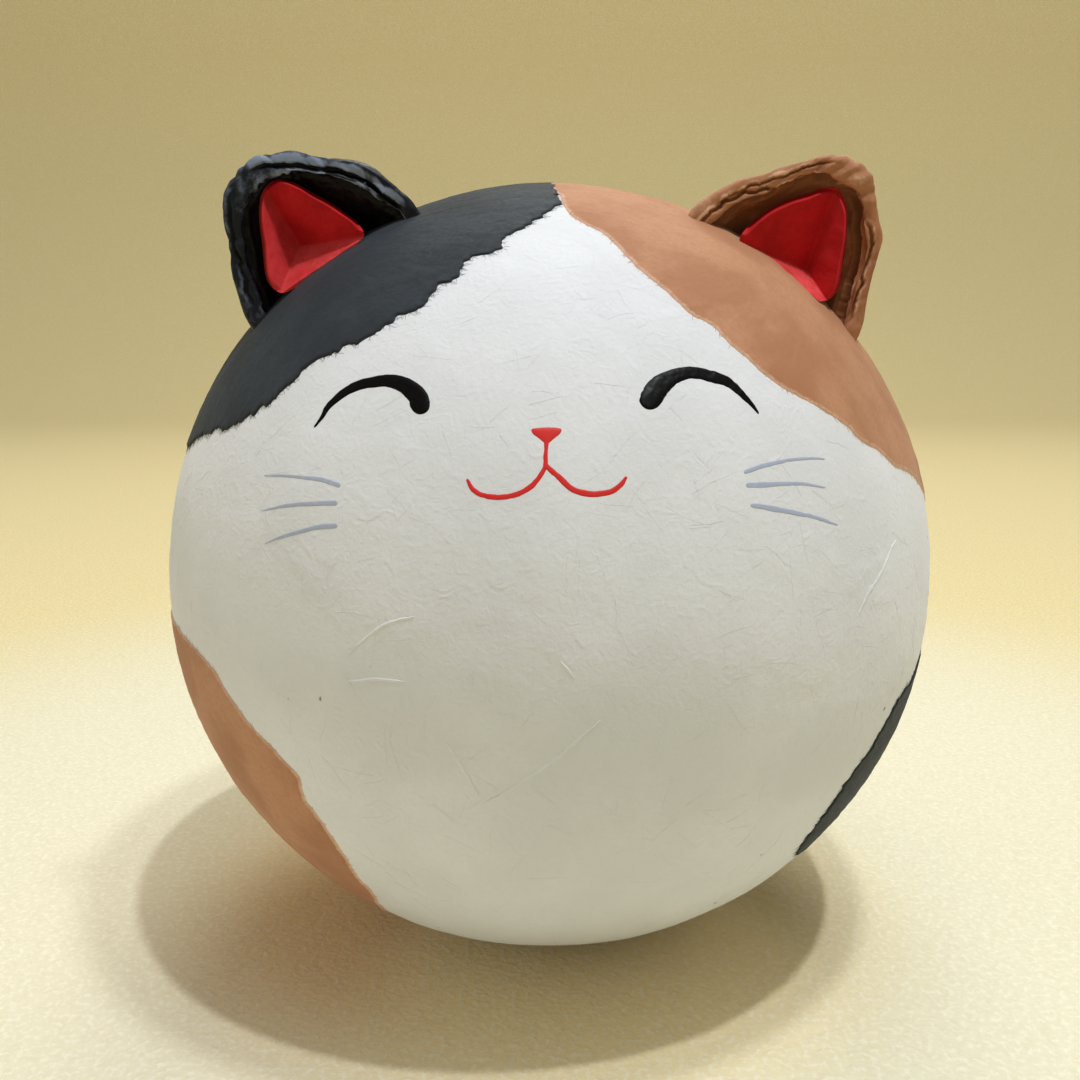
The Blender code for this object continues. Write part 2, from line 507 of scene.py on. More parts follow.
@dataclass(frozen=True)
class CrumpledPaper(Finish):
    """An ear's sized and crumpled paper: pale crests that are partly wear and partly painted highlight,
    painted shade in the folds, and a little gloss.
    """

    tint: Colour
    # fold is a painted shade colour; crest is a pale colour, worn torn edges on brown paper and painted
    # highlight on black.
    fold: Colour
    crest: Colour
    roughness: float
    gloss: float
    felt_size: float = 0.6 * MM
    felt_depth: float = 0.025 * MM
    strand_size: float = 1.8 * MM
    strand_depth: float = 0.03 * MM

    def material(self) -> bpy.types.Material:
        """Mixes the ear's paper.

        Returns:
            The material. It reads each point's paleness from the mesh, which carries wear, painted highlights
            and painted shade.
        """
        mix = Recipe(self.name)
        felt = mix.noise(self.felt_size, detail=5, distortion=0.8)
        strands = mix.noise(self.strand_size, detail=5, distortion=1.4, crests=True)
        height = mix.math("ADD", mix.attribute("crest"), mix.ramp(felt, 0.3, 0.7, top=0.06, bottom=-0.06))
        # Painted shade: the fold colour where the paleness is low. Wear and painted highlight: the crest
        # colour where it is high.
        colour = mix.blend(mix.ramp(height, 0.1, 0.5), self.fold, self.tint)
        colour = mix.blend(mix.ramp(height, 0.6, 1.05), colour, self.crest)
        colour = mix.blend(mix.ramp(strands, 0.65, 0.9, top=0.12), colour, self.crest)
        normal = mix.bump(strands, self.strand_depth)
        normal = mix.bump(felt, self.felt_depth, under=normal)
        rough = mix.ramp(felt, 0.3, 0.7, top=self.roughness + 0.06, bottom=self.roughness - 0.06)
        return mix.finish(colour, rough, normal, Specular_IOR_Level=self.gloss)


@dataclass(frozen=True)
class BrushPaint(Finish):
    """Opaque paint laid with a brush: streaks, thin places and a soft gloss."""

    tint: Colour
    thin: Colour
    roughness: float
    thin_share: float = 0.5
    gloss: float = 0.3
    streak_size: float = 0.8 * MM
    grain_size: float = 0.35 * MM
    grain_depth: float = 0.008 * MM

    def material(self) -> bpy.types.Material:
        """Mixes the paint.

        Returns:
            The material. It reads how near each point is to the stroke's edge.
        """
        mix = Recipe(self.name)
        streaks = mix.noise(self.streak_size, detail=4, distortion=1.2)
        rim = mix.ramp(mix.attribute("rim"), 0.55, 1.0, top=self.thin_share)
        colour = mix.blend(rim, self.tint, self.thin)
        colour = mix.blend(mix.ramp(streaks, 0.55, 0.8, top=self.thin_share), colour, self.thin)
        normal = mix.bump(mix.noise(self.grain_size, detail=3), self.grain_depth)
        rough = mix.ramp(streaks, 0.35, 0.65, top=self.roughness + 0.1, bottom=self.roughness)
        return mix.finish(colour, rough, normal, Specular_IOR_Level=self.gloss)


@dataclass(frozen=True)
class FloorCloth(Finish):
    """A plain napped cloth: pale around the figurine, warm under it as a painted shadow, and deeper in tone
    further away as painted shade.
    """

    under: Colour
    near: Colour
    far: Colour
    painted_shadow_reach: tuple[float, float] = (30 * MM, 60 * MM)
    near_reach: float = 110 * MM
    painted_shade_reach: float = 230 * MM
    nap: Colour = (0.55, 0.45, 0.24)
    nap_size: float = 1.6 * MM
    nap_depth: float = 0.2 * MM
    loop: Colour = (0.97, 0.93, 0.78)
    loop_size: float = 0.8 * MM
    loop_depth: float = 0.16 * MM

    def material(self) -> bpy.types.Material:
        """Mixes the cloth.

        Returns:
            The material.
        """
        mix = Recipe(self.name)
        away = mix.add("ShaderNodeVectorMath", {0: mix.place}, operation="LENGTH").outputs["Value"]
        nap = mix.noise(self.nap_size, detail=4, distortion=0.5)
        # Painted shadow: a warmer tone under the figurine, where its shadow falls. Painted shade: a deeper
        # tone further away.
        colour = mix.blend(mix.ramp(away, *self.painted_shadow_reach), self.under, self.near)
        colour = mix.blend(mix.ramp(away, self.near_reach, self.painted_shade_reach), colour, self.far)
        colour = mix.blend(mix.ramp(nap, 0.35, 0.7, top=0.12), colour, self.nap)
        loops = mix.noise(self.loop_size, detail=3)
        colour = mix.blend(mix.ramp(loops, 0.45, 0.7, top=0.5), colour, self.loop)
        normal = mix.bump(loops, self.loop_depth, under=mix.bump(nap, self.nap_depth))
        return mix.finish(colour, 0.9, normal, Sheen_Weight=0.1)


WHITE_WASHI = Washi(
    "white_washi", (0.765, 0.780, 0.80), (0.715, 0.730, 0.745), (0.82, 0.832, 0.845), (0.8, 0.8, 0.8),
    cloud_size=14 * MM, felt_depth=0.06 * MM, sheen=0.2, specks=True, torn=False,
)
BLACK_WASHI = Washi(
    "black_washi", (0.027, 0.036, 0.044), (0.018, 0.024, 0.030), (0.060, 0.076, 0.088), (0.018, 0.023, 0.028),
    fringe_width=1.0 * MM, roughness=0.8, sheen=0.02, gloss=0.28,
)
BROWN_WASHI = Washi(
    "brown_washi", (0.49, 0.235, 0.115), (0.39, 0.165, 0.07), (0.66, 0.40, 0.25), (0.74, 0.47, 0.33),
    fringe_width=0.5 * MM,
)
# The red paper's last colour is a painted highlight for the lining's lit facets.
RED_WASHI = Washi(
    "red_washi", (0.50, 0.007, 0.010), (0.38, 0.004, 0.006), (0.58, 0.03, 0.03), (0.45, 0.012, 0.012),
    fringe_width=0.3 * MM, cloud_size=4 * MM, sheen=0.0, gloss=0.2, painted_light=(0.95, 0.12, 0.12),
)
BLACK_FIBRE = Washi(
    "black_fibre", (0.022, 0.027, 0.031), (0.015, 0.018, 0.021), (0.05, 0.06, 0.066), (0.1, 0.1, 0.1),
    torn=False,
)
PEACH_FIBRE = Washi(
    "peach_fibre", (0.62, 0.38, 0.25), (0.52, 0.28, 0.17), (0.75, 0.5, 0.36), (0.1, 0.1, 0.1), torn=False,
)
# Black ear paper: near-black painted shade in the folds and the hollow, blue-grey painted highlight on the
# crests.
BLACK_CRUMPLE = CrumpledPaper(
    "black_crumple", (0.008, 0.010, 0.014), (0.0010, 0.0012, 0.0018), (0.19, 0.225, 0.30),
    roughness=0.45, gloss=0.16,
)
# Brown ear paper: dark brown painted shade in the folds and the hollow, peach torn edges on the crests.
BROWN_CRUMPLE = CrumpledPaper(
    "brown_crumple", (0.38, 0.165, 0.075), (0.20, 0.07, 0.022), (0.74, 0.47, 0.32),
    roughness=0.72, gloss=0.3,
)
INK = BrushPaint("eye_ink", (0.0035, 0.003, 0.003), (0.009, 0.008, 0.008), 0.36, thin_share=0.3, gloss=0.08)
RED_PAINT = BrushPaint("red_paint", (0.66, 0.022, 0.016), (0.60, 0.05, 0.045), 0.5)
GREY_PAINT = BrushPaint("whisker_paint", (0.40, 0.45, 0.57), (0.58, 0.61, 0.66), 0.6, thin_share=0.6)
# The floor's first colour is a painted warm shadow under the figurine and its last a painted shade further
# away.
FLOOR_CLOTH = FloorCloth("floor_cloth", (0.93, 0.76, 0.42), (0.81, 0.77, 0.56), (0.80, 0.67, 0.32))


@dataclass(frozen=True)
class PaperBall:
    """The pasted paper ball, a little lumpy, on its small flat foot."""

    radius: float = 50 * MM
    foot_radius: float = 8 * MM
    faces_across: int = 124
    lump_height: float = 0.16 * MM
    lump_size: float = 24 * MM
    dent_height: float = 0.045 * MM
    dent_size: float = 5 * MM
    sheet_count: int = 34
    sheet_reach: float = 19 * MM
    sheet_thickness: float = 0.05 * MM
    sheet_edge: float = 0.5 * MM
    sheet_tear: float = 1.2 * MM
    tear_size: float = 3.5 * MM
    sunk: float = 0.1 * MM
    weld: float = 0.01 * MM

    @property
    def centre(self) -> np.ndarray:
        """The middle of the ball."""
        return np.array((0, 0, math.sqrt(self.radius**2 - self.foot_radius**2)))

    def sheets(self) -> np.ndarray:
        """The sheets of white paper that are pasted round the ball.

        Returns:
            One row for each: its middle's direction and its reach.
        """
        random = np.random.default_rng(11)
        middles = unit(random.normal(size=(self.sheet_count, 3)))
        reaches = self.sheet_reach * random.uniform(0.6, 1.3, size=(self.sheet_count, 1))
        return np.hstack([middles, reaches])

    def relief(self, ways: np.ndarray) -> np.ndarray:
        """How far the skin stands out of a true ball.

        Args:
            ways: Unit directions from the ball's centre.

        Returns:
            One height for each direction.
        """
        spots = ways * self.radius
        relief = self.lump_height * layered_noise(spots, self.lump_size, 2, seed=3)
        relief += self.dent_height * layered_noise(spots, self.dent_size, 3, seed=9)
        ragged = self.sheet_tear * layered_noise(spots, self.tear_size, 3, seed=21)
        for *middle, reach in self.sheets():
            away = np.arccos(np.clip(ways @ np.array(middle), -1, 1)) * self.radius + ragged
            relief += self.sheet_thickness * smoothstep(reach - away, 0, self.sheet_edge)
        return relief - self.sunk

    def skin(self, ways: np.ndarray, lift: np.ndarray | float = 0.0) -> np.ndarray:
        """The points on the skin, or lifted off it.

        Args:
            ways: Unit directions from the ball's centre.
            lift: How far off the skin each point is.

        Returns:
            One point for each direction.
        """
        reach = self.radius + self.relief(ways) + lift
        points = self.centre + ways * np.asarray(reach)[..., None]
        points[..., 2] = np.maximum(points[..., 2], 0.0)
        return points

    def build(self) -> bpy.types.Object:
        """Makes the ball as six warped squares joined at their edges.

        Returns:
            The ball, one closed mesh.
        """
        ticks = np.tan(np.linspace(-math.pi / 4, math.pi / 4, self.faces_across + 1))
        across, along = np.meshgrid(ticks, ticks, indexing="ij")
        bm = bmesh.new()
        for axis, side in itertools.product(range(3), (-1, 1)):
            square = np.stack([side * np.ones_like(across), across, side * along], axis=-1)
            ways = unit(np.roll(square, axis, axis=-1))
            square_mesh = GridMesh("square", self.skin(ways)).build().data
            bm.from_mesh(square_mesh)
            bpy.data.meshes.remove(square_mesh)
        bmesh.ops.remove_doubles(bm, verts=bm.verts, dist=self.weld)
        bmesh.ops.recalc_face_normals(bm, faces=bm.faces)
        mesh = bpy.data.meshes.new("white_ball")
        bm.to_mesh(mesh)
        bm.free()
        mesh.shade_smooth()
        return link_object("white_ball", mesh)


@dataclass(frozen=True)
class PhotoCamera:
    """The photograph's view. The ball's outline and its shadow give the distance, the tilt and the lens."""

    ball: PaperBall
    distance_in_radii: float = 3.0
    tilt_down: float = 10.6
    focal_px: float = 1078.0
    image_px: float = 1080.0
    ball_px: Pixel = (548.0, 562.5)
    sensor: float = 36.0

    def axes(self) -> np.ndarray:
        """The view's own directions.

        Returns:
            Right, up and forward, one in each row.
        """
        tilt = math.radians(self.tilt_down)
        up = (0, math.sin(tilt), math.cos(tilt))
        return np.array([(1, 0, 0), up, (0, math.cos(tilt), -math.sin(tilt))])

    def rays(self, pixels: np.ndarray) -> np.ndarray:
        """The directions of sight.

        Args:
            pixels: The places in the photograph.

        Returns:
            One unit direction for each pixel.
        """
        right, up, forward = self.axes()
        offsets = (pixels - self.image_px / 2) / self.focal_px
        return unit(forward + offsets[..., :1] * right - offsets[..., 1:] * up)

    def eye(self) -> np.ndarray:
        """Where the lens is."""
        towards_ball = self.rays(np.array(self.ball_px))
        return self.ball.centre - towards_ball * self.distance_in_radii * self.ball.radius

    def ball_ways(self, pixels: np.ndarray) -> np.ndarray:
        """The direction from the ball's centre of what each pixel shows of the ball.

        Args:
            pixels: The places in the photograph. One just outside the ball's outline gives the outline.

        Returns:
            One unit direction for each pixel.
        """
        rays = self.rays(pixels)
        from_centre = self.eye() - self.ball.centre
        along = np.sum(rays * from_centre, axis=-1)
        gap = along**2 - (from_centre @ from_centre - self.ball.radius**2)
        reach = -along - np.sqrt(np.maximum(gap, 0))
        return unit(from_centre + rays * reach[..., None])

    def sight(self, pixels: np.ndarray, frame_of_piece: Matrix) -> tuple[np.ndarray, np.ndarray]:
        """Looks through some pixels from a piece's own frame.

        Args:
            pixels: The places in the photograph.
            frame_of_piece: Where the piece stands in the object's frame.

        Returns:
            The lens, and the direction of sight through each pixel, both in the piece's frame.
        """
        inverse = np.array(frame_of_piece.inverted())
        turned = inverse[:3, :3]
        return turned @ self.eye() + inverse[:3, 3], self.rays(pixels) @ turned.T

    def build(self) -> None:
        """Sets the camera up."""
        camera = bpy.data.cameras.new("photo_camera")
        camera.lens = self.sensor * self.focal_px / self.image_px
        camera.sensor_width = self.sensor
        camera.clip_start = 0.01
        holder = bpy.data.objects.new("photo_camera", camera)
        right, up, forward = self.axes()
        turned = Matrix((right, up, -forward)).transposed().to_4x4()
        holder.matrix_world = Matrix.Translation(Vector(self.eye())) @ turned
        bpy.context.scene.collection.objects.link(holder)
        bpy.context.scene.camera = holder


def ways_of_turns(turns: tuple[Turn, ...]) -> np.ndarray:
    """Directions from the ball's centre.

    Args:
        turns: Degrees round the ball, 0 at the face and 90 at the brown ear's side, and above its middle.

    Returns:
        One unit direction for each turn.
    """
    turn, above = np.radians(np.array(turns, float)).T
    return np.stack([np.cos(above) * np.sin(turn), -np.cos(above) * np.cos(turn), np.sin(above)], axis=-1)


@dataclass(frozen=True)
class TornPatch:
    """A sheet of dyed paper pasted on the ball. Its border is seen in part, and goes on round the back."""

    name: str
    slot: Slot
    finish: Washi
    seen: tuple[Pixel, ...]
    hidden: tuple[Turn, ...]
    hub: Turn
    seed: int
    lift: float = 0.16 * MM
    tear: float = 0.35 * MM
    tear_size: float = 2.6 * MM
    fray: float = 0.3
    fray_size: float = 0.7 * MM
    step: float = 0.17 * MM
    wrinkle: float = 0.05 * MM
    wrinkle_size: float = 3.5 * MM
    grain: float = 0.03 * MM
    grain_size: float = 1.2 * MM
    border_rows: tuple[float, ...] = (0, 0.06, 0.14, 0.25, 0.4, 0.6, 0.85, 1.2)
    rise_band: tuple[float, float] = (-0.05 * MM, 0.3 * MM)
    inner_rows: int = 34
    tuck: float = 0.06 * MM

    def spokes(self, camera: PhotoCamera) -> tuple[np.ndarray, np.ndarray, np.ndarray]:
        """The lines from the hub to the torn border.

        Args:
            camera: The view that places it.

        Returns:
            The hub's direction, each spoke's tangent at the hub and each spoke's length along the ball.
        """
        ball = camera.ball
        hub = ways_of_turns((self.hub,))[0]
        knots = np.vstack([camera.ball_ways(np.array(self.seen)), ways_of_turns(self.hidden)])
        border = unit(smooth_path(knots * ball.radius, self.step, closed=True))
        spots = border * ball.radius
        tear = layered_noise(spots, self.tear_size, 3, self.seed)
        tear = tear + self.fray * layered_noise(spots, self.fray_size, 2, self.seed + 7)
        lengths = np.arccos(border @ hub) * ball.radius + self.tear * tear
        return hub, unit(border - (border @ hub)[:, None] * hub), lengths

    def ways(self, camera: PhotoCamera, depths: np.ndarray) -> np.ndarray:
        """The directions of some points of the patch.

        Args:
            camera: The view that places it.
            depths: How far inside the border each point is, along the ball.

        Returns:
            One unit direction for each depth.
        """
        hub, tangents, lengths = self.spokes(camera)
        turn = ((lengths - depths) / camera.ball.radius)[..., None]
        return hub * np.cos(turn) + tangents * np.sin(turn)

    def covers(self, camera: PhotoCamera, ways: np.ndarray, margin: float) -> np.ndarray:
        """Finds what the patch covers.

        Args:
            camera: The view that places the patch.
            ways: Directions from the ball's centre.
            margin: How far beyond the border counts as covered.

        Returns:
            Whether each direction is on the patch or within the margin of it.
        """
        hub, tangents, lengths = self.spokes(camera)
        side = np.cross(hub, tangents[0])
        around = np.arctan2(tangents @ side, tangents @ tangents[0])
        order = np.argsort(around)
        here = np.arctan2(ways @ side, ways @ tangents[0])
        reach = np.interp(here, around[order], lengths[order], period=math.tau)
        return np.arccos(np.clip(ways @ hub, -1, 1)) * camera.ball.radius < reach + margin

    def build(self, camera: PhotoCamera) -> bpy.types.Object:
        """Makes the sheet. Its torn border dips into the skin below it.

        Args:
            camera: The view that places it.

        Returns:
            The sheet.
        """
        ball = camera.ball
        lengths = self.spokes(camera)[2]
        border_rows = np.array(self.border_rows) * MM
        shares = np.linspace(0, 1, self.inner_rows + 1)[1:-1, None]
        inner = border_rows[-1] + (lengths - border_rows[-1]) * shares
        depths = np.vstack([np.tile(border_rows[:, None], (1, len(lengths))), inner])
        ways = self.ways(camera, depths)
        spots = ways * ball.radius
        folds = creased(layered_noise(spots, self.wrinkle_size, 3, self.seed + 20))
        grain = layered_noise(spots, self.grain_size, 2, 5)
        rise = smoothstep(depths, *self.rise_band)
        lift = (self.lift + self.wrinkle * folds + self.grain * grain) * rise
        points = ball.skin(ways, lift - self.tuck * (1 - rise))
        hub = ways_of_turns((self.hub,))
        grid = GridMesh(self.name, points, close_columns=True, hub=ball.skin(hub, self.lift)[0])
        piece = grid.build({"edge": depths})
        face_away_from(piece, ball.centre)
        self.finish.dress(piece)
        return piece


BLACK_CROWN = TornPatch(
    name="black_head_patch", slot=Slot.BLACK, finish=BLACK_WASHI, hub=(-58, 52), seed=31, lift=0.2 * MM,
    tear=0.34 * MM, fray=1.1,
    seen=(
        (182, 443), (206, 434), (236, 423), (263, 407), (284, 390), (302, 373), (321, 360), (344, 348),
        (367, 339), (385, 326), (406, 314), (424, 302), (436, 289), (457, 276), (472, 257), (499, 250),
        (504, 238), (526, 228), (546, 215), (558, 201),
    ),
    hidden=(
        (20, 87), (172, 82), (178, 70), (175, 58), (-172, 49), (-156, 42), (-140, 33), (-125, 26), (-108, 20),
    ),
)
BROWN_CROWN = TornPatch(
    name="brown_head_patch", slot=Slot.BROWN, finish=BROWN_WASHI, hub=(61, 50), seed=47, tear=0.16 * MM,
    seen=(
        (563, 205), (579, 222), (604, 236), (624, 256), (645, 275), (665, 290), (678, 304), (692, 315),
        (714, 327), (731, 345), (749, 361), (767, 378), (800, 398), (825, 412), (848, 428), (861, 441),
        (879, 451), (896, 467), (912, 475),
    ),
    hidden=(
        (86, 8), (104, 10), (122, 19), (138, 29), (153, 38), (166, 46), (174, 58), (174, 70), (150, 81),
        (0, 84),
    ),
)
BROWN_FLANK = TornPatch(
    name="brown_side_patch", slot=Slot.BROWN, finish=BROWN_WASHI, hub=(-96, -28), seed=59, tear=0.18 * MM,
    seen=(
        (175, 625), (191, 644), (211, 666), (226, 690), (239, 710), (252, 727), (270, 746), (288, 764),
        (299, 779), (303, 795), (323, 824), (344, 856), (361, 881), (376, 899),
    ),
    hidden=(
        (-70, -66), (-100, -62), (-126, -50), (-143, -34), (-140, -16), (-122, -4), (-102, -1), (-84, -3),
    ),
)
BLACK_FLANK = TornPatch(
    name="black_side_patch", slot=Slot.BLACK, finish=BLACK_WASHI, hub=(96, -30), seed=73,
    tear=0.32 * MM, fray=1.1,
    seen=(
        (921, 657), (910, 681), (898, 699), (887, 718), (874, 738), (864, 755), (849, 776), (838, 793),
        (823, 814), (810, 832), (796, 853),
    ),
    hidden=((62, -42), (82, -56), (108, -60), (132, -47), (142, -29), (131, -12), (110, -4), (90, -6)),
)
PATCHES = (BROWN_CROWN, BLACK_CROWN, BROWN_FLANK, BLACK_FLANK)


BEND_SIZE = 2.5 * MM
RAY_LENGTH = 10 * MM


def fibre_tree() -> bpy.types.NodeTree:
    """Builds the Geometry Nodes that lay one bent, tapering fibre on a skin for each seed point.

    Returns:
        The tree. A seed point carries toward and outward, its fibre's axes, and shift, which varies its bend.
    """
    tree = bpy.data.node_groups.new("laid_fibres", "GeometryNodeTree")
    kinds = {
        "Geometry": "Geometry", "Skin": "Object", "Centre": "Vector", "Length": "Float", "Thickness": "Float",
        "Spin": "Float", "Wiggle": "Float", "Rise": "Float", "Seed": "Int", "Material": "Material",
    }
    for name, kind in kinds.items():
        tree.interface.new_socket(name, in_out="INPUT", socket_type="NodeSocket" + kind)
    tree.interface.new_socket("Geometry", in_out="OUTPUT", socket_type="NodeSocketGeometry")
    given = tree.nodes.new("NodeGroupInput").outputs

    def add(kind: str, inputs: dict[str | int, object], **settings: object) -> bpy.types.Node:
        """Adds a node to this tree."""
        return add_node(tree, kind, inputs, **settings)

    def vector(operation: str, first: object, second: object) -> Socket:
        """One sum of two vectors."""
        return add("ShaderNodeVectorMath", {0: first, 1: second}, operation=operation).outputs[0]

    def number(operation: str, first: object, second: object) -> Socket:
        """One sum of two numbers."""
        return add("ShaderNodeMath", {0: first, 1: second}, operation=operation).outputs[0]

    def stored(name: str, kind: str) -> Socket:
        """An attribute of the seed points."""
        return add("GeometryNodeInputNamedAttribute", {"Name": name}, data_type=kind).outputs[0]

    def chance(low: Socket | float, high: Socket | float) -> Socket:
        """A random number for each point."""
        inputs = {2: low, 3: high, "Seed": given["Seed"]}
        return add("FunctionNodeRandomValue", inputs, data_type="FLOAT").outputs[1]

    axes = {0: stored("outward", "FLOAT_VECTOR"), 1: stored("toward", "FLOAT_VECTOR")}
    upright = add("FunctionNodeAxesToRotation", axes, primary_axis="Z", secondary_axis="X").outputs[0]
    spin = chance(number("MULTIPLY", given["Spin"], -1.0), given["Spin"])
    turn = add("FunctionNodeAxisAngleToRotation", {"Axis": (0, 0, 1), "Angle": spin}).outputs[0]
    upright = add("FunctionNodeRotateRotation", {0: upright, 1: turn}, rotation_space="LOCAL").outputs[0]
    length = number("MULTIPLY", given["Length"], chance(0.3, 1.0))
    line = add("GeometryNodeCurvePrimitiveLine", {"Start": (0, 0, 0), "End": (1, 0, 0)}).outputs[0]
    line = add("GeometryNodeResampleCurve", {"Curve": line, "Count": 8}).outputs[0]
    inputs = {"Points": given["Geometry"], "Instance": line, "Rotation": upright, "Scale": length}
    laid = add("GeometryNodeInstanceOnPoints", inputs).outputs[0]
    laid = add("GeometryNodeRealizeInstances", {0: laid}).outputs[0]

    position = add("GeometryNodeInputPosition", {}).outputs[0]
    along = add("GeometryNodeSplineParameter", {}).outputs["Factor"]
    shift = number("MULTIPLY", stored("shift", "FLOAT"), 90.0)
    inputs = {"Vector": position, "W": shift, "Scale": 1 / BEND_SIZE}
    noise = add("ShaderNodeTexNoise", inputs, noise_dimensions="4D").outputs["Color"]
    strength = number("MULTIPLY", given["Wiggle"], along)
    bend = vector("MULTIPLY", vector("SUBTRACT", noise, (0.5, 0.5, 0.5)), strength)
    laid = add("GeometryNodeSetPosition", {"Geometry": laid, "Offset": bend}).outputs[0]

    outward = vector("SUBTRACT", position, given["Centre"])
    skin = add("GeometryNodeObjectInfo", {"Object": given["Skin"]}, transform_space="ORIGINAL")
    start = vector("ADD", position, vector("MULTIPLY", outward, (0.06, 0.06, 0.06)))
    down = vector("MULTIPLY", outward, (-1, -1, -1))
    ray = {
        "Target Geometry": skin.outputs["Geometry"], "Source Position": start, "Ray Direction": down,
        "Ray Length": RAY_LENGTH,
    }
    landed = add("GeometryNodeRaycast", ray).outputs["Hit Position"]
    above = add("ShaderNodeVectorMath", {0: outward}, operation="NORMALIZE").outputs[0]
    lifted = vector("ADD", landed, vector("MULTIPLY", above, given["Rise"]))
    laid = add("GeometryNodeSetPosition", {"Geometry": laid, "Position": lifted}).outputs[0]

    taper = number("POWER", number("SUBTRACT", 1.0, number("POWER", along, 3.0)), 0.6)
    radius = number("MULTIPLY", given["Thickness"], 0.5)
    thickness = number("MULTIPLY", radius, number("MAXIMUM", taper, 0.15))
    ring = add("GeometryNodeCurvePrimitiveCircle", {"Resolution": 3, "Radius": 1.0}).outputs[0]
    tube = {"Curve": laid, "Profile Curve": ring, "Scale": thickness, "Fill Caps": True}
    mesh = add("GeometryNodeCurveToMesh", tube).outputs[0]
    mesh = add("GeometryNodeRealizeInstances", {0: mesh}).outputs[0]
    mesh = add("GeometryNodeSetShadeSmooth", {"Geometry": mesh}).outputs[0]
    mesh = add("GeometryNodeSetMaterial", {"Geometry": mesh, "Material": given["Material"]}).outputs[0]
    add("NodeGroupOutput", {"Geometry": mesh})
    return tree


@dataclass(frozen=True)
class LaidFibres:
    """Loose fibres of mulberry paper, pasted down with the sheet that they come from."""

    name: str
    slot: Slot
    finish: Washi
    length: float
    thickness: float
    spin: float
    wiggle: float
    seed: int
    sunk: float = 0.25

    def build(
        self, places: np.ndarray, toward: np.ndarray, skin: bpy.types.Object, ball: PaperBall
    ) -> bpy.types.Object:
        """Lays the fibres.

        Args:
            places: Where each fibre starts.
            toward: The direction in which each one sets out, before its random spin.
            skin: The piece that the fibres lie on.
            ball: The ball below it.

        Returns:
            The fibres as one plain mesh.
        """
        mesh = bpy.data.meshes.new("seeds")
        mesh.from_pydata(places.tolist(), [], [])
        shifts = np.random.default_rng(self.seed).random(len(places))
        for key, values in (("toward", toward), ("outward", unit(places - ball.centre))):
            flat = values.astype(np.float32).reshape(-1)
            mesh.attributes.new(key, "FLOAT_VECTOR", "POINT").data.foreach_set("vector", flat)
        mesh.attributes.new("shift", "FLOAT", "POINT").data.foreach_set("value", shifts.astype(np.float32))
        seeds = link_object("seeds", mesh)
        layer = seeds.modifiers.new("laid fibres", "NODES")
        layer.node_group = bpy.data.node_groups.get("laid_fibres") or fibre_tree()
        self.finish.dress(seeds)
        values = {
            "Skin": skin, "Centre": tuple(ball.centre), "Length": self.length, "Thickness": self.thickness,
            "Spin": math.radians(self.spin), "Wiggle": self.wiggle, "Seed": self.seed,
            "Rise": self.thickness * (0.5 - self.sunk), "Material": seeds.data.materials[0],
        }
        for item in layer.node_group.interface.items_tree:
            if item.name in values and item.in_out == "INPUT":
                layer[item.identifier] = values[item.name]
        depsgraph = bpy.context.evaluated_depsgraph_get()
        laid = bpy.data.meshes.new_from_object(seeds.evaluated_get(depsgraph), depsgraph=depsgraph)
        bpy.data.meshes.remove(mesh)
        laid.name = self.name
        return link_object(self.name, laid)


@dataclass(frozen=True)
class BrushStroke:
    """One stroke of paint, a thin domed ribbon. Its knots are pixels, each with the stroke's width there."""

    name: str
    slot: Slot
    finish: Finish
    knots: tuple[tuple[float, float, float], ...]
    film: float = 0.07 * MM
    dome_power: float = 4
    waver: float = 0.35
    waver_size: float = 6.0
    thinnest: float = 0.15
    round_start: bool = True
    round_end: bool = True
    columns: int = 12
    tuck: float = 0.03 * MM
    seed: int = 1

    def path(self) -> np.ndarray:
        """The stroke's middle line in even steps, with its round ends.

        Returns:
            One row for each step: x, y, 0 and half the stroke's width.
        """
        knots = np.array([(x, y, 0, width / 2) for x, y, width in self.knots])
        path = smooth_path(knots, 1.0)
        for at_start, wanted in ((True, self.round_start), (False, self.round_end)):
            end, inner = (path[0], path[1]) if at_start else (path[-1], path[-2])
            if wanted:
                ahead = unit(end[:2] - inner[:2])
                turns = np.radians(np.linspace(12, 88, 8))[:, None]
                middles = end[:2] + ahead * end[3] * np.sin(turns)
                cap = np.hstack([middles, np.zeros_like(turns), end[3] * np.cos(turns)])
                path = np.vstack([cap[::-1], path]) if at_start else np.vstack([path, cap])
        return path

    def build(self, camera: PhotoCamera) -> bpy.types.Object:
        """Makes the ribbon. Its edges dip into the skin below it.

        Args:
            camera: The view that places it.

        Returns:
            The painted stroke.
        """
        path = self.path()
        heading = unit(np.gradient(path[:, :2], axis=0))
        across = np.linspace(-1, 1, self.columns + 1)
        left = np.stack([-heading[:, 1], heading[:, 0]], axis=-1)
        spots = np.stack(np.broadcast_arrays(path[:, :1], path[:, 1:2], 40.0 * np.sign(across)), axis=-1)
        waver = self.waver * layered_noise(spots, self.waver_size, 3, self.seed)
        half = np.maximum(path[:, 3:4] + waver, self.thinnest)
        pixels = path[:, None, :2] + left[:, None] * (across * half)[..., None]
        ends = np.minimum(np.arange(len(path)), np.arange(len(path))[::-1])[:, None]
        dome = (1 - np.abs(across) ** self.dome_power) * smoothstep(ends.astype(float), -0.5, 3)
        body = 1 + 0.15 * layered_noise(spots / 5, 1.0, 2, self.seed + 3)
        points = camera.ball.skin(camera.ball_ways(pixels), self.film * dome * body - self.tuck * (1 - dome))
        piece = GridMesh(self.name, points).build({"rim": np.abs(across) * np.ones_like(half)})
        face_away_from(piece, camera.ball.centre)
        self.finish.dress(piece)
        return piece


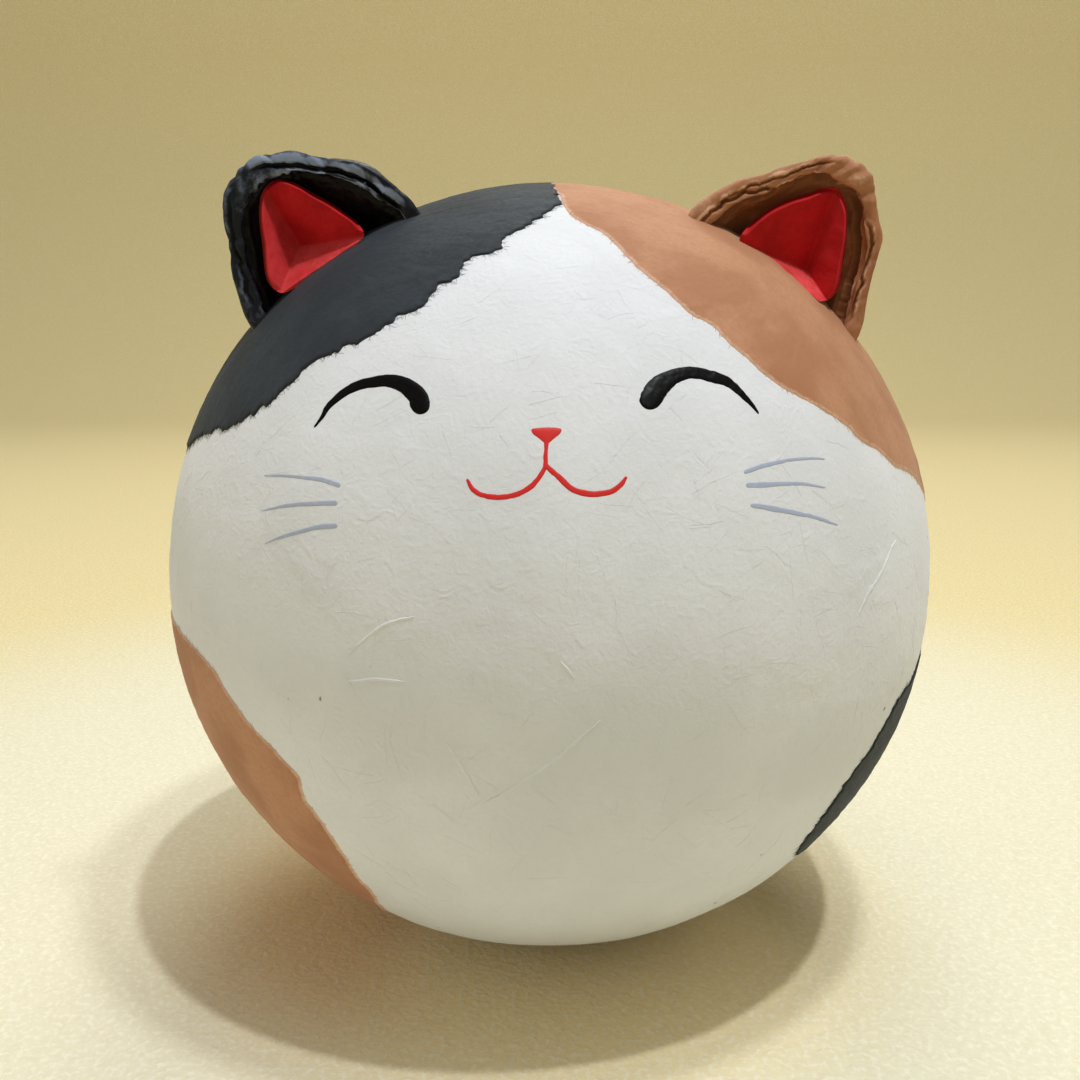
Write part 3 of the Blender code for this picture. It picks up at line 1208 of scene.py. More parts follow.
@dataclass(frozen=True)
class PaintBlot:
    """A small filled shape of paint. Its outline is given in pixels."""

    name: str
    slot: Slot
    finish: Finish
    outline: tuple[Pixel, ...]
    film: float = 0.09 * MM
    rings: int = 14
    tuck: float = 0.03 * MM

    def build(self, camera: PhotoCamera) -> bpy.types.Object:
        """Makes the blot as rings that shrink to its middle.

        Args:
            camera: The view that places it.

        Returns:
            The painted blot.
        """
        outline = smooth_path(np.array([(x, y, 0) for x, y in self.outline]), 1.0, closed=True)[:, :2]
        middle = outline.mean(axis=0)
        shares = np.linspace(1, 0, self.rings + 1)[:-1, None]
        pixels = middle + (outline - middle) * shares[..., None]
        dome = (1 - shares**4) * np.ones(len(outline))
        points = camera.ball.skin(camera.ball_ways(pixels), self.film * dome - self.tuck * (1 - dome))
        hub = camera.ball.skin(camera.ball_ways(middle[None]), self.film)[0]
        grid = GridMesh(self.name, points, close_columns=True, hub=hub)
        share = shares * np.ones(len(outline))
        piece = grid.build({"rim": share, "edge": (1 - share) * MM, "crest": 1 - share / 2})
        face_away_from(piece, camera.ball.centre)
        self.finish.dress(piece)
        return piece


FACE = (
    BrushStroke(
        name="left_eye", slot=Slot.BLACK, finish=INK, film=0.1 * MM, round_start=False, seed=5,
        knots=(
            (314.1, 428, 1.5), (321.6, 418, 4), (327.4, 407.8, 6), (338.1, 397.3, 8), (349.8, 389.5, 9.6),
            (361.4, 384.5, 10.8), (373, 382, 11.8), (387.9, 380.7, 14), (401.2, 383.7, 17),
            (411.1, 389.9, 19.5), (418.1, 397.3, 21), (419.7, 403.5, 21.5),
        ),
    ),
    BrushStroke(
        name="right_eye", slot=Slot.BLACK, finish=INK, film=0.1 * MM, round_end=False, seed=6,
        knots=(
            (651.4, 397.4, 24.5), (659.5, 385.9, 24), (672.9, 376.7, 17.5), (684.4, 372.9, 14.5),
            (694.9, 372.5, 12.8), (707.3, 374.8, 12.2), (718.8, 378.6, 12), (728.4, 382.5, 10.5),
            (737.9, 390.7, 8), (746.5, 399.7, 6), (753.2, 407, 4), (758.6, 414.6, 1),
        ),
    ),
    PaintBlot(
        name="nose", slot=Slot.RED, finish=RED_PAINT,
        outline=(
            (530.2, 429.5), (532, 427.5), (540, 426.5), (549, 426), (558, 426.5), (562.5, 428.5), (561, 433),
            (554, 439), (548.5, 443.5), (545, 443.5), (538, 438), (532, 433.5),
        ),
    ),
    BrushStroke(
        name="philtrum", slot=Slot.RED, finish=RED_PAINT, film=0.06 * MM, seed=7,
        knots=((546.6, 441, 5), (546, 450, 4.6), (545.6, 458, 5), (545.4, 466, 5.4)),
    ),
    BrushStroke(
        name="mouth_left", slot=Slot.RED, finish=RED_PAINT, film=0.06 * MM, seed=8,
        knots=(
            (545.4, 466, 5), (538.8, 477.7, 5.6), (528.9, 487.7, 6), (515.6, 494.3, 6), (499, 496.8, 6),
            (485.7, 495.7, 6), (475.8, 491.8, 5.6), (470.8, 486.9, 5), (467.5, 480.2, 3.6),
        ),
    ),
    BrushStroke(
        name="mouth_right", slot=Slot.RED, finish=RED_PAINT, film=0.06 * MM, seed=9,
        knots=(
            (545.4, 464, 5), (549, 468, 5.4), (554, 472.5, 5.8), (560, 477.7, 6.2), (571.5, 488.3, 6.8),
            (584.9, 493, 7), (598.3, 493.6, 6.6), (611.7, 491.1, 6.4), (621.2, 484.4, 6), (626, 477.7, 3.5),
        ),
    ),
) + tuple(
    BrushStroke(
        name=name, slot=Slot.WHITE, finish=GREY_PAINT, film=0.045 * MM, round_start=False, seed=seed,
        knots=knots,
    )
    for name, seed, knots in (
        (
            "left_whisker_top", 10,
            ((264, 476, 1), (286, 476, 3.4), (307, 478, 4.6), (323, 480, 5.6), (338, 485, 6)),
        ),
        ("left_whisker_middle", 11, ((261, 511, 1), (286, 506, 4), (307, 504, 5.4), (335, 503, 6))),
        (
            "left_whisker_low", 12,
            ((264, 544, 1), (282, 537, 4), (303, 531, 5.2), (319, 527, 6), (335, 526, 6)),
        ),
        (
            "right_whisker_top", 13,
            ((825, 459.6, 1), (812.5, 458.6, 3), (793.4, 459.6, 4), (778.1, 462.4, 5), (760.9, 466.6, 5.5),
             (745.6, 472, 5)),
        ),
        (
            "right_whisker_middle", 14,
            ((825, 488.3, 1.5), (804.9, 484.4, 4), (785.8, 483.9, 5), (766.6, 484.8, 6.5),
             (748.4, 485.4, 6.5)),
        ),
        (
            "right_whisker_low", 15,
            ((837.4, 525.6, 1.5), (824, 520.8, 4), (808.7, 516, 5), (789.6, 512.2, 6), (770.4, 508.4, 6.5),
             (752.3, 505.5, 5)),
        ),
    )
)
CREASES = tuple(
    BrushStroke(
        name=f"crease_{number}", slot=Slot.WHITE, finish=WHITE_WASHI, film=0.08 * MM, dome_power=2, waver=0.9,
        round_start=False, round_end=False, columns=8, seed=20 + number,
        knots=tuple((x, y, 1.2 if at in (0, len(line) - 1) else 3.8) for at, (x, y) in enumerate(line)),
    )
    for number, line in enumerate((
        ((482, 806), (511, 790), (549, 766), (581, 739), (602, 720)),
        ((479, 798), (460, 766), (442, 739)),
        ((560, 661), (568, 670), (576, 680)),
        ((346, 654), (382, 626), (415, 616)),
        ((346, 682), (375, 680), (405, 682)),
        ((855, 623), (866, 596), (879, 576), (896, 539)),
    ))
)


@dataclass(frozen=True)
class PastedLayer:
    """The torn edge of a layer of paper round an ear's rim, and the shadowed recess below it.

    Its reach is how far inside the rim's crest it ends. Left and right are its ends, as shares of the rim.
    The recess is also painted darker as shade, and a strip of pale width on the crest side of the edge is
    painted paler: pale paper on the brown ear and painted highlight on the black one.
    """

    reach: float
    drop: float
    left: float
    right: float
    fade: float = 0.06
    recess: float = 0.7 * MM
    slant: float = 0.0
    waver: float = 0.45 * MM
    pale: float = 0.5 * MM
    # How much paler the strip by the edge is: pale paper or painted highlight.
    pale_edge_and_highlight: float = 0.4


@dataclass(frozen=True)
class EarShell:
    """A cupped ear of crumpled paper, whose rim follows the photograph. It is modelled in its own frame.

    There x runs along its feet, y to the back and z away from the ball's skin. Spread leans it to the side,
    and lean tips it backwards. What is bare of the lining is measured from the rim at the left, the right and
    the tip.
    """

    name: str
    slot: Slot
    finish: CrumpledPaper
    rim_seen: tuple[Pixel, ...]
    layers: tuple[PastedLayer, ...]
    width: float
    spread: float
    bare: tuple[float, float, float]
    seed: int
    forward: float = 22.0
    lean: float = 0.35
    hollow_depth: float = 7.0 * MM
    wall: float = 1.6 * MM
    rim_thickness: float = 2.2 * MM
    root_margin: float = 2.5 * MM
    rim_front: float = 0.55 * MM
    rim_power: float = 4.0
    hollow_power: float = 1.25
    column_step: float = 0.15 * MM
    row_step: float = 0.11 * MM
    outer_reach: float = 3.0 * MM
    inner_reach: float = 5.4 * MM
    fold_height: float = 0.42 * MM
    fold_size: tuple[float, float] = (5.0 * MM, 2.2 * MM)
    crinkle_height: float = 0.13 * MM
    crinkle_size: float = 1.7 * MM
    grain_height: float = 0.03 * MM
    grain_size: float = 0.7 * MM
    pleat_height: float = 0.25 * MM
    pleat_size: tuple[float, float] = (1.0 * MM, 6.0 * MM)
    warp: float = 1.0 * MM
    warp_size: float = 4 * MM
    below_lining: float = 0.25 * MM
    lining_band: tuple[float, float] = (0.3 * MM, 1.5 * MM)
    cut_depth: float = 1.0 * MM
    turn_steps: int = 160
    far_rows: int = 22

    def frame(self, ball: PaperBall) -> Matrix:
        """Where the ear stands.

        Args:
            ball: The ball that carries it.

        Returns:
            The ear's own frame in the object's frame.
        """
        spread, forward = math.radians(self.spread), math.radians(self.forward)
        level = math.cos(spread)
        away = Vector((math.sin(spread), -level * math.sin(forward), level * math.cos(forward)))
        along = Vector((0, 1, 0)).cross(away).normalized()
        upright = Matrix((along, away.cross(along), away)).transposed().to_4x4()
        return Matrix.Translation(Vector(ball.centre) + away * ball.radius) @ upright

    def place(self, points: np.ndarray, ball: PaperBall) -> np.ndarray:
        """The points of the ear's own frame, in the object's frame."""
        matrix = np.array(self.frame(ball))
        return points @ matrix[:3, :3].T + matrix[:3, 3]

    def root(self, ball: PaperBall) -> float:
        """How deep below the skin the ear's walls would meet in one point.

        Args:
            ball: The ball that carries it.

        Returns:
            The depth.
        """
        across = math.hypot(self.width / 2, self.hollow_depth + self.wall)
        return ball.radius - math.sqrt(ball.radius**2 - across**2) + self.root_margin

    @functools.cache
    def rim(self, camera: PhotoCamera) -> np.ndarray:
        """The rim's outer edge in even steps, from below the left foot to below the right one.

        Args:
            camera: The view that places it.

        Returns:
            One row for each step, with x and z.
        """
        eye, rays = camera.sight(np.array(self.rim_seen), self.frame(camera.ball))
        steps = (self.lean * eye[2] - eye[1]) / (rays[:, 1] - self.lean * rays[:, 2])
        seen = (eye + rays * steps[:, None])[:, [0, 2]]
        depth = -self.root(camera.ball)
        below = [(seen[0, 0], depth), *seen, (seen[-1, 0], depth)]
        return smooth_path(np.array([(x, z, 0) for x, z in below]), self.column_step)[:, :2]

    def reach(self, camera: PhotoCamera, x: np.ndarray, z: np.ndarray) -> np.ndarray:
        """How far the rim lies from the root's middle in the direction of each place.

        Args:
            camera: The view that places it.
            x: The places' x in the ear's own frame.
            z: Their z.

        Returns:
            One distance for each place.
        """
        rim = self.rim(camera)[::-1]
        root = self.root(camera.ball)
        turns = np.arctan2(rim[:, 1] + root, rim[:, 0])
        return np.interp(np.arctan2(z + root, x), turns, np.hypot(rim[:, 0], rim[:, 1] + root))

    def wall_depth(self, camera: PhotoCamera, x: np.ndarray, z: np.ndarray) -> np.ndarray:
        """How far back the hollow's wall is.

        Args:
            camera: The view that places it.
            x: The places' x in the ear's own frame.
            z: Their z.

        Returns:
            One depth for each place.
        """
        reach = self.reach(camera, x, z) - self.rim_thickness
        share = np.minimum(np.hypot(x, z + self.root(camera.ball)) / reach, 1.0)
        return self.hollow_depth * (1 - share**self.hollow_power) ** (1 / self.hollow_power) + self.lean * z

    def sections(self, rim: np.ndarray, root: float) -> tuple[np.ndarray, np.ndarray]:
        """The wall's section at each point of the rim, from the back's middle round the rim to the hollow.

        Args:
            rim: The rim's outer edge, as x and z.
            root: How deep below the skin the walls would meet.

        Returns:
            The sections' points, and how far inside the rim's crest each one is, along the paper.
        """
        turns = np.linspace(0, math.pi / 2, self.turn_steps)
        border = np.arange(-self.outer_reach, self.inner_reach + self.row_step, self.row_step)
        far = np.linspace(0, 1, self.far_rows)[1:]
        square = 2 / self.rim_power
        slope = 2 / self.hollow_power
        half = self.rim_thickness / 2
        back = self.hollow_depth + self.wall
        grid, places = [], []
        for reach in np.hypot(rim[:, 0], rim[:, 1] + root):
            hollow = reach - self.rim_thickness
            outer = np.stack([reach * np.sin(turns), back * np.cos(turns)], axis=-1)
            cosines = np.cos(2 * turns)
            sines = np.abs(np.sin(2 * turns))
            across = hollow + half * (1 + np.sign(cosines) * np.abs(cosines) ** square)
            roll = np.stack([across, -self.rim_front * sines**square], axis=-1)
            inner = np.stack([
                hollow * np.sin(turns) ** slope, self.hollow_depth * np.cos(turns) ** slope
            ], axis=-1)[::-1]
            profile = np.vstack([outer, roll[1:], inner[1:]])
            run = np.concatenate([[0], np.cumsum(np.linalg.norm(np.diff(profile, axis=0), axis=1))])
            run -= run[len(outer) + len(roll) // 2 - 1]
            behind = border[0] + (run[0] - border[0]) * far[::-1]
            within = border[-1] + (run[-1] - border[-1]) * far
            rows = np.concatenate([behind, border, within])
            grid.append(np.stack([np.interp(rows, run, column) for column in profile.T], axis=-1))
            places.append(rows)
        return np.array(grid), np.array(places)

    def crumple(self, along: np.ndarray, inward: np.ndarray, tip: float) -> tuple[np.ndarray, np.ndarray]:
        """The folds, crinkles and pasted layers of the paper.

        Args:
            along: The place along the rim.
            inward: The distance from the rim's crest, more than 0 inside the hollow.
            tip: Where along the rim its tip is.

        Returns:
            How far each point stands out of the smooth form, and how pale it is: paler on raised facets and
            torn edges, partly from wear and partly as painted highlight, and darker as painted shade in the
            recesses and the hollow.
        """
        sheet = np.stack([along, inward, np.zeros_like(along)], axis=-1)
        warp = self.warp * layered_noise(sheet, self.warp_size, 2, self.seed + 2)
        long, short = self.fold_size
        folds = facets((along + warp) / long + 0.5 * inward / short, (inward + warp) / short, self.seed)
        near_rim = 0.3 + 0.7 * smoothstep(np.abs(inward), 6.5 * MM, 3 * MM)
        size = self.crinkle_size
        crinkles = facets((along + warp) / size, (inward - warp) / size, self.seed + 9)
        size = self.grain_size
        grain = facets((along - inward) / size, (inward + along) / size, self.seed + 12)
        wide, deep = self.pleat_size
        pleats = facets((along + 0.9 * inward) / wide, inward / deep, self.seed + 17)
        near_tip = smoothstep(np.abs(along - tip), 8 * MM, 2 * MM)
        pleats *= near_tip * smoothstep(np.abs(inward), 4.5 * MM, 2 * MM)
        height = self.fold_height * folds * near_rim + self.crinkle_height * crinkles
        height += self.grain_height * grain
        height += self.pleat_height * pleats
        # Paler on raised facets, partly wear and partly painted highlight; darker inside the hollow, as
        # painted shade.
        wear_and_painted_light = 0.5 + 0.22 * folds + 0.1 * crinkles + 0.12 * pleats
        wear_and_painted_light -= 0.35 * smoothstep(inward, 1.4 * MM, 2.6 * MM)
        share = along / along.max()
        for number, layer in enumerate(self.layers):
            spot = np.stack([along, np.zeros_like(along), np.full_like(along, number * 50 * MM)], axis=-1)
            edge = layer.reach + layer.slant * (share - (layer.left + layer.right) / 2)
            past = inward - edge - layer.waver * layered_noise(spot, 2.6 * MM, 4, self.seed + 40)
            there = smoothstep(share, layer.left, layer.left + layer.fade)
            there = there * smoothstep(share, layer.right, layer.right - layer.fade)
            below = there * smoothstep(past, 0, 0.13 * MM)
            below = below * smoothstep(past, layer.recess, 0.35 * layer.recess)
            height -= layer.drop * below
            # A pale strip along each torn edge: pale paper on the brown ear, painted highlight on the black
            # one.
            strip = smoothstep(past, -layer.pale, -0.4 * layer.pale) * smoothstep(past, 0.12 * MM, 0)
            wear_and_painted_light += layer.pale_edge_and_highlight * there * strip * (0.75 + 0.5 * crinkles)
            # Painted shade in the recess below the edge.
            wear_and_painted_light -= 0.45 * below
        return height, wear_and_painted_light

    def build(self, camera: PhotoCamera) -> bpy.types.Object:
        """Makes the crumpled shell, without the part of it that is deep in the ball.

        Args:
            camera: The view that places it.

        Returns:
            The ear's shell.
        """
        ball = camera.ball
        root = self.root(ball)
        rim = self.rim(camera)
        sections, inward = self.sections(rim, root)
        spokes = unit(rim + np.array((0, root)))
        z = spokes[:, 1:] * sections[..., 0] - root
        base = np.stack([spokes[:, :1] * sections[..., 0], sections[..., 1] + self.lean * z, z], axis=-1)
        normals = grid_normals(base)
        if normals[base.shape[0] // 2, base.shape[1] // 2, 1] > 0:
            normals = -normals
        run = np.concatenate([[0], np.cumsum(np.linalg.norm(np.diff(rim, axis=0), axis=1))])
        tip = run[np.argmax(rim[:, 1])]
        left, right, top = self.bare
        knots = (0, 0.3, tip / run[-1], 0.72, 1)
        bare = np.interp(run / run[-1], knots, (left, left, top, right, right))[:, None]
        height, wear_and_painted_light = self.crumple(run[:, None] * np.ones_like(inward), inward, tip)
        begin, end = self.lining_band
        covered = smoothstep(inward, bare + begin, bare + end)
        height = height * (1 - covered) - self.below_lining * covered
        points = self.place(base + normals * height[..., None], ball)
        # The paleness carries wear, painted highlights and painted shade for the ear's material.
        piece = GridMesh(self.name + "_shell", points).build({"crest": wear_and_painted_light})
        self.cut_below(piece, ball, self.cut_depth)
        face_away_from(piece, self.place(np.array((0, self.hollow_depth + self.wall / 2, 0)), ball))
        self.finish.dress(piece)
        return piece

    @staticmethod
    def cut_below(piece: bpy.types.Object, ball: PaperBall, depth: float) -> None:
        """Deletes the faces that are deep in the ball.

        Args:
            piece: The piece to cut.
            ball: The ball.
            depth: How deep in the ball the cut is.
        """
        bm = bmesh.new()
        bm.from_mesh(piece.data)
        limit = ball.radius - depth
        centre = Vector(ball.centre)
        buried = [face for face in bm.faces if all((vert.co - centre).length < limit for vert in face.verts)]
        bmesh.ops.delete(bm, geom=buried, context="FACES")
        bm.to_mesh(piece.data)
        bm.free()


BLACK_EAR = EarShell(
    name="black_ear", slot=Slot.BLACK, finish=BLACK_CRUMPLE, width=24.4 * MM, spread=-31.3,
    bare=(2.2 * MM, 5.1 * MM, 1.3 * MM), seed=101,
    layers=(
        PastedLayer(reach=1.25 * MM, drop=0.4 * MM, left=0.05, right=0.95, recess=1.6 * MM, pale_edge_and_highlight=0.12),
        # Painted highlight: the crown side's wide pale strips, blue-grey on black paper.
        PastedLayer(
            reach=-0.1 * MM, drop=0.6 * MM, left=0.46, right=0.9, recess=0.9 * MM, slant=2.6 * MM,
            waver=0.25 * MM, pale=1.1 * MM, pale_edge_and_highlight=0.8,
        ),
        PastedLayer(
            reach=1.0 * MM, drop=0.5 * MM, left=0.5, right=0.95, slant=2.2 * MM, waver=0.3 * MM,
            pale=0.6 * MM, pale_edge_and_highlight=0.6,
        ),
        PastedLayer(
            reach=-0.35 * MM, drop=0.25 * MM, left=0.1, right=0.42, recess=0.9 * MM, slant=-2.0 * MM,
            pale_edge_and_highlight=0.15,
        ),
    ),
    rim_seen=(
        (249, 318), (239, 291), (231, 268), (228, 241), (225, 209), (229, 190), (243, 172), (257, 159),
        (274, 156), (294, 153), (312, 156), (333, 157), (359, 164), (381, 176), (401, 190), (412, 199),
    ),
)
BROWN_EAR = EarShell(
    name="brown_ear", slot=Slot.BROWN, finish=BROWN_CRUMPLE, width=25.4 * MM, spread=34.0,
    bare=(2.8 * MM, 2.4 * MM, 2.1 * MM), seed=151,
    layers=(
        PastedLayer(reach=0.3 * MM, drop=0.5 * MM, left=0.04, right=0.42, slant=2.4 * MM),
        PastedLayer(reach=-0.45 * MM, drop=0.4 * MM, left=0.12, right=0.46, recess=0.5 * MM, slant=-1.6 * MM),
        PastedLayer(reach=1.2 * MM, drop=0.5 * MM, left=0.04, right=0.5, recess=1.4 * MM),
        PastedLayer(reach=1.8 * MM, drop=0.85 * MM, left=0.5, right=0.93, recess=1.6 * MM),
        PastedLayer(reach=0.2 * MM, drop=0.4 * MM, left=0.6, right=0.9, slant=2.0 * MM),
    ),
    rim_seen=(
        (690, 218), (698, 208), (719, 193), (746, 178), (771, 172), (796, 163), (817, 157), (833, 156),
        (848, 162), (862, 167), (874, 184), (877, 206), (882, 231), (881, 252), (874, 281), (868, 306),
        (858, 338),
    ),
)


@dataclass(frozen=True)
class RedLining:
    """The red sheet in an ear, folded into three facets that meet at its deepest point.

    Its outline, its tip, its two lower corners and its deepest point are pixels of the photograph, and so are
    the ends of the folds along its lip. The depths are those of the left corner, the right corner and the
    deepest point. The left facet, the right one and the lip that comes out on the ball each get a share of a
    lighter red, a painted highlight where the light falls on them.
    """

    ear: EarShell
    outline: tuple[Pixel, ...]
    tip: Pixel
    left: Pixel
    right: Pixel
    deepest: Pixel
    depths: tuple[float, float, float]
    folds: tuple[Pixel, Pixel]
    painted_light: tuple[float, float, float]
    seed: int
    thickness: float = 0.3 * MM
    fold: float = 0.15 * MM
    seat: float = 0.45 * MM
    wall_band: tuple[float, float] = (0.3 * MM, 1.8 * MM)
    front: float = -1.0 * MM
    sunk: float = 0.15 * MM
    dent: float = 0.14 * MM
    dent_size: float = 3.5 * MM
    crumple: float = 0.12 * MM
    crumple_size: float = 2.4 * MM
    blotch_size: float = 2.2 * MM
    edge_reach: float = 6 * MM
    rings: int = 56
    pixel: float = 0.1 * MM
    tucked_px: float = 4.0
    first_depth: float = 3 * MM
    rounds: int = 40

    def at_depth(self, camera: PhotoCamera, pixels: np.ndarray, depth: np.ndarray) -> np.ndarray:
        """The points on the sights through the pixels that are so far back in the ear's own frame."""
        eye, rays = camera.sight(pixels, self.ear.frame(camera.ball))
        return eye + rays * ((depth - eye[1]) / rays[..., 1])[..., None]

    def settle(self, camera: PhotoCamera, pixels: np.ndarray, depth_at: DepthAt) -> np.ndarray:
        """Finds where the sights through some pixels meet a surface of the ear's own frame.

        Args:
            camera: The view.
            pixels: The places in the photograph.
            depth_at: Gives how far back the surface is at each x and z.

        Returns:
            One point of the surface for each pixel.
        """
        depth = np.full(pixels.shape[:-1], self.first_depth)
        for _ in range(self.rounds):
            points = self.at_depth(camera, pixels, depth)
            depth += 0.5 * (depth_at(points[..., 0], points[..., 2]) - depth)
        return points

    def facet(self, anchors: np.ndarray, x: np.ndarray, z: np.ndarray) -> np.ndarray:
        """How far back the plane through three anchors is at each x and z."""
        a, b, c = np.linalg.solve(np.column_stack([np.ones(3), anchors[:, 0], anchors[:, 2]]), anchors[:, 1])
        return a + b * x + c * z

    def build(self, camera: PhotoCamera) -> bpy.types.Object:
        """Makes the sheet as rings that shrink to its deepest point. Its edge dips into what carries it.

        Args:
            camera: The view that places it.

        Returns:
            The folded sheet.
        """
        def wall(x: np.ndarray, z: np.ndarray) -> np.ndarray:
            """How far back the hollow's wall is."""
            return self.ear.wall_depth(camera, x, z)

        tip = self.settle(camera, np.array((self.tip,)), wall)[0]
        folds = self.at_depth(camera, np.array(self.folds), np.array(self.depths[:2]))
        corners = np.array((self.left, self.right, self.deepest))
        left, right, deepest = self.at_depth(camera, corners, np.array(self.depths))
        planes = [np.array((deepest, tip, fold)) for fold in folds]
        planes.append(np.array((deepest, left, right)))
        outline = smooth_path(np.array([(x, y, 0) for x, y in self.outline]), 1.0, closed=True)[:, :2]
        hub = np.array(self.deepest)
        on_wall = smoothstep(self.settle(camera, outline, wall)[:, 2], *self.wall_band)
        down = unit(np.array(camera.ball_px) - outline)
        outline += down * (self.tucked_px * (1 - on_wall))[:, None]
        shares = np.linspace(1, 0, self.rings + 1)[:-1, None]
        shares = 1 - (1 - shares) ** 1.5
        pixels = hub + (outline - hub) * shares[..., None]
        spoke = np.linalg.norm(outline - hub, axis=-1) * self.pixel
        edge = (1 - shares) * np.minimum(spoke, self.edge_reach)
        seated = (1 - smoothstep(edge, 0, self.seat)) * on_wall

        def depth_at(x: np.ndarray, z: np.ndarray) -> np.ndarray:
            """How far back the lining's surface is.

            Args:
                x: The places' x in the ear's own frame.
                z: Their z.

            Returns:
                One depth for each place.
            """
            folded = np.array([self.facet(plane, x, z) for plane in planes])
            lowest = folded.min(axis=0)
            pit = lowest - self.fold * np.log(np.exp((lowest - folded) / self.fold).sum(axis=0))
            spots = np.stack([x, np.zeros_like(x), z], axis=-1)
            pit = np.maximum(pit, self.front) + self.dent * layered_noise(spots, self.dent_size, 3, self.seed)
            pit += self.crumple * facets(x / self.crumple_size, z / self.crumple_size, self.seed + 5)
            behind = wall(x, z)
            share = seated if x.shape == seated.shape else 0.0
            loose = np.minimum(pit, behind) * (1 - share) + (behind + self.sunk) * share
            return loose - self.thickness * (1 - share)

        points = self.settle(camera, pixels, depth_at)
        middle = self.settle(camera, hub[None], depth_at)[0]
        ball = camera.ball
        grid = GridMesh(
            self.ear.name + "_red_lining", self.ear.place(points, ball), close_columns=True,
            hub=self.ear.place(middle, ball),
        )
        # Painted highlight: each facet gets its share of a lighter red, blended across the creases and broken
        # into blotches.
        folded = np.array([self.facet(plane, points[..., 0], points[..., 2]) for plane in planes])
        weights = np.exp((folded.min(axis=0) - folded) / self.fold)
        painted_light = np.tensordot(self.painted_light, weights / weights.sum(axis=0), axes=1)
        blotches = layered_noise(points, self.blotch_size, 3, self.seed + 9)
        piece = grid.build({"edge": edge, "painted_light": np.clip(painted_light * (1 + 0.5 * blotches), 0, 1)})
        face_away_from(piece, self.ear.place(np.array((0, self.ear.hollow_depth * 3, 0)), ball))
        RED_WASHI.dress(piece)
        return piece


LININGS = (
    RedLining(
        ear=BLACK_EAR, tip=(267, 191), left=(277, 293), right=(364, 237), deepest=(300, 246),
        depths=(-0.6 * MM, -1.0 * MM, 4.2 * MM), folds=((271, 276), (361, 230)), painted_light=(0.2, 0.0, 0.34),
        seed=211,
        outline=(
            (275.5, 178.8), (263.7, 188.4), (259.4, 205.5), (259.4, 222.6), (261.6, 239.7), (263.3, 256.8),
            (265.2, 273.8), (269.5, 284.5), (277.6, 289.9), (287.2, 287.7), (301.1, 279.2), (318.2, 265.3),
            (335.3, 253.5), (352.4, 242.9), (360.9, 234.3), (362, 229), (357.7, 222.6), (348.1, 215.1),
            (331, 203.3), (313.9, 193.7), (296.8, 184.1), (284, 178.8),
        ),
    ),
    RedLining(
        ear=BROWN_EAR, tip=(835, 189), left=(741, 243), right=(825, 303), deepest=(806, 269),
        depths=(-1.0 * MM, -0.7 * MM, 4.2 * MM), folds=((744, 238), (841, 286)), painted_light=(0.0, 0.08, 0.4),
        seed=223,
        outline=(
            (741.6, 236.7), (744.8, 229.1), (756.7, 218.2), (771.9, 207.4), (791.4, 198.7), (808.8, 193.3),
            (821.8, 188.3), (834.8, 187.9), (841.3, 192.2), (846.7, 205.2), (847.8, 216.1), (846.7, 237.8),
            (844.5, 255.1), (841.3, 276.8), (838, 289.8), (832.6, 296.3), (823.9, 298.5), (817.4, 297.4),
            (808.8, 292), (793.6, 278.9), (778.4, 267), (761.1, 252.9), (745.9, 242.1),
        ),
    ),
)


@dataclass(frozen=True)
class Lamp:
    """A round soft light that faces the ball. Its offset is measured from the ball's centre."""

    name: str
    offset: Vector
    size: float
    power: float
    colour: Colour

    def build(self, ball: PaperBall) -> None:
        """Hangs the light.

        Args:
            ball: The ball that it faces.
        """
        lamp = bpy.data.lights.new(self.name, "AREA")
        lamp.shape = "DISK"
        lamp.size = self.size
        lamp.energy = self.power
        lamp.color = self.colour
        holder = bpy.data.objects.new(self.name, lamp)
        turned = self.offset.to_track_quat("Z", "Y").to_matrix().to_4x4()
        holder.matrix_world = Matrix.Translation(Vector(ball.centre) + self.offset) @ turned
        bpy.context.scene.collection.objects.link(holder)


KEY_TRAVEL = (-0.21, 0.232, -1.0)
KEY_DISTANCE = 3.0
LAMPS = (
    Lamp("key_light", -Vector(KEY_TRAVEL).normalized() * KEY_DISTANCE, 0.1, 28.0, (0.96, 1.0, 1.08)),
    Lamp("near_light", Vector((0.072, -0.080, 0.345)), 0.03, 0.42, (0.97, 1.0, 1.06)),
    Lamp("ceiling_light", Vector((0.1, -0.15, 1.2)), 0.9, 2.5, (0.96, 1.0, 1.0)),
    Lamp("card_light", Vector((-0.62, -0.1, 0.03)), 0.4, 0.55, (1.0, 0.97, 0.92)),
    Lamp("back_light", Vector((0.05, 0.55, 0.75)), 0.5, 2.6, (1.0, 0.98, 0.94)),
)


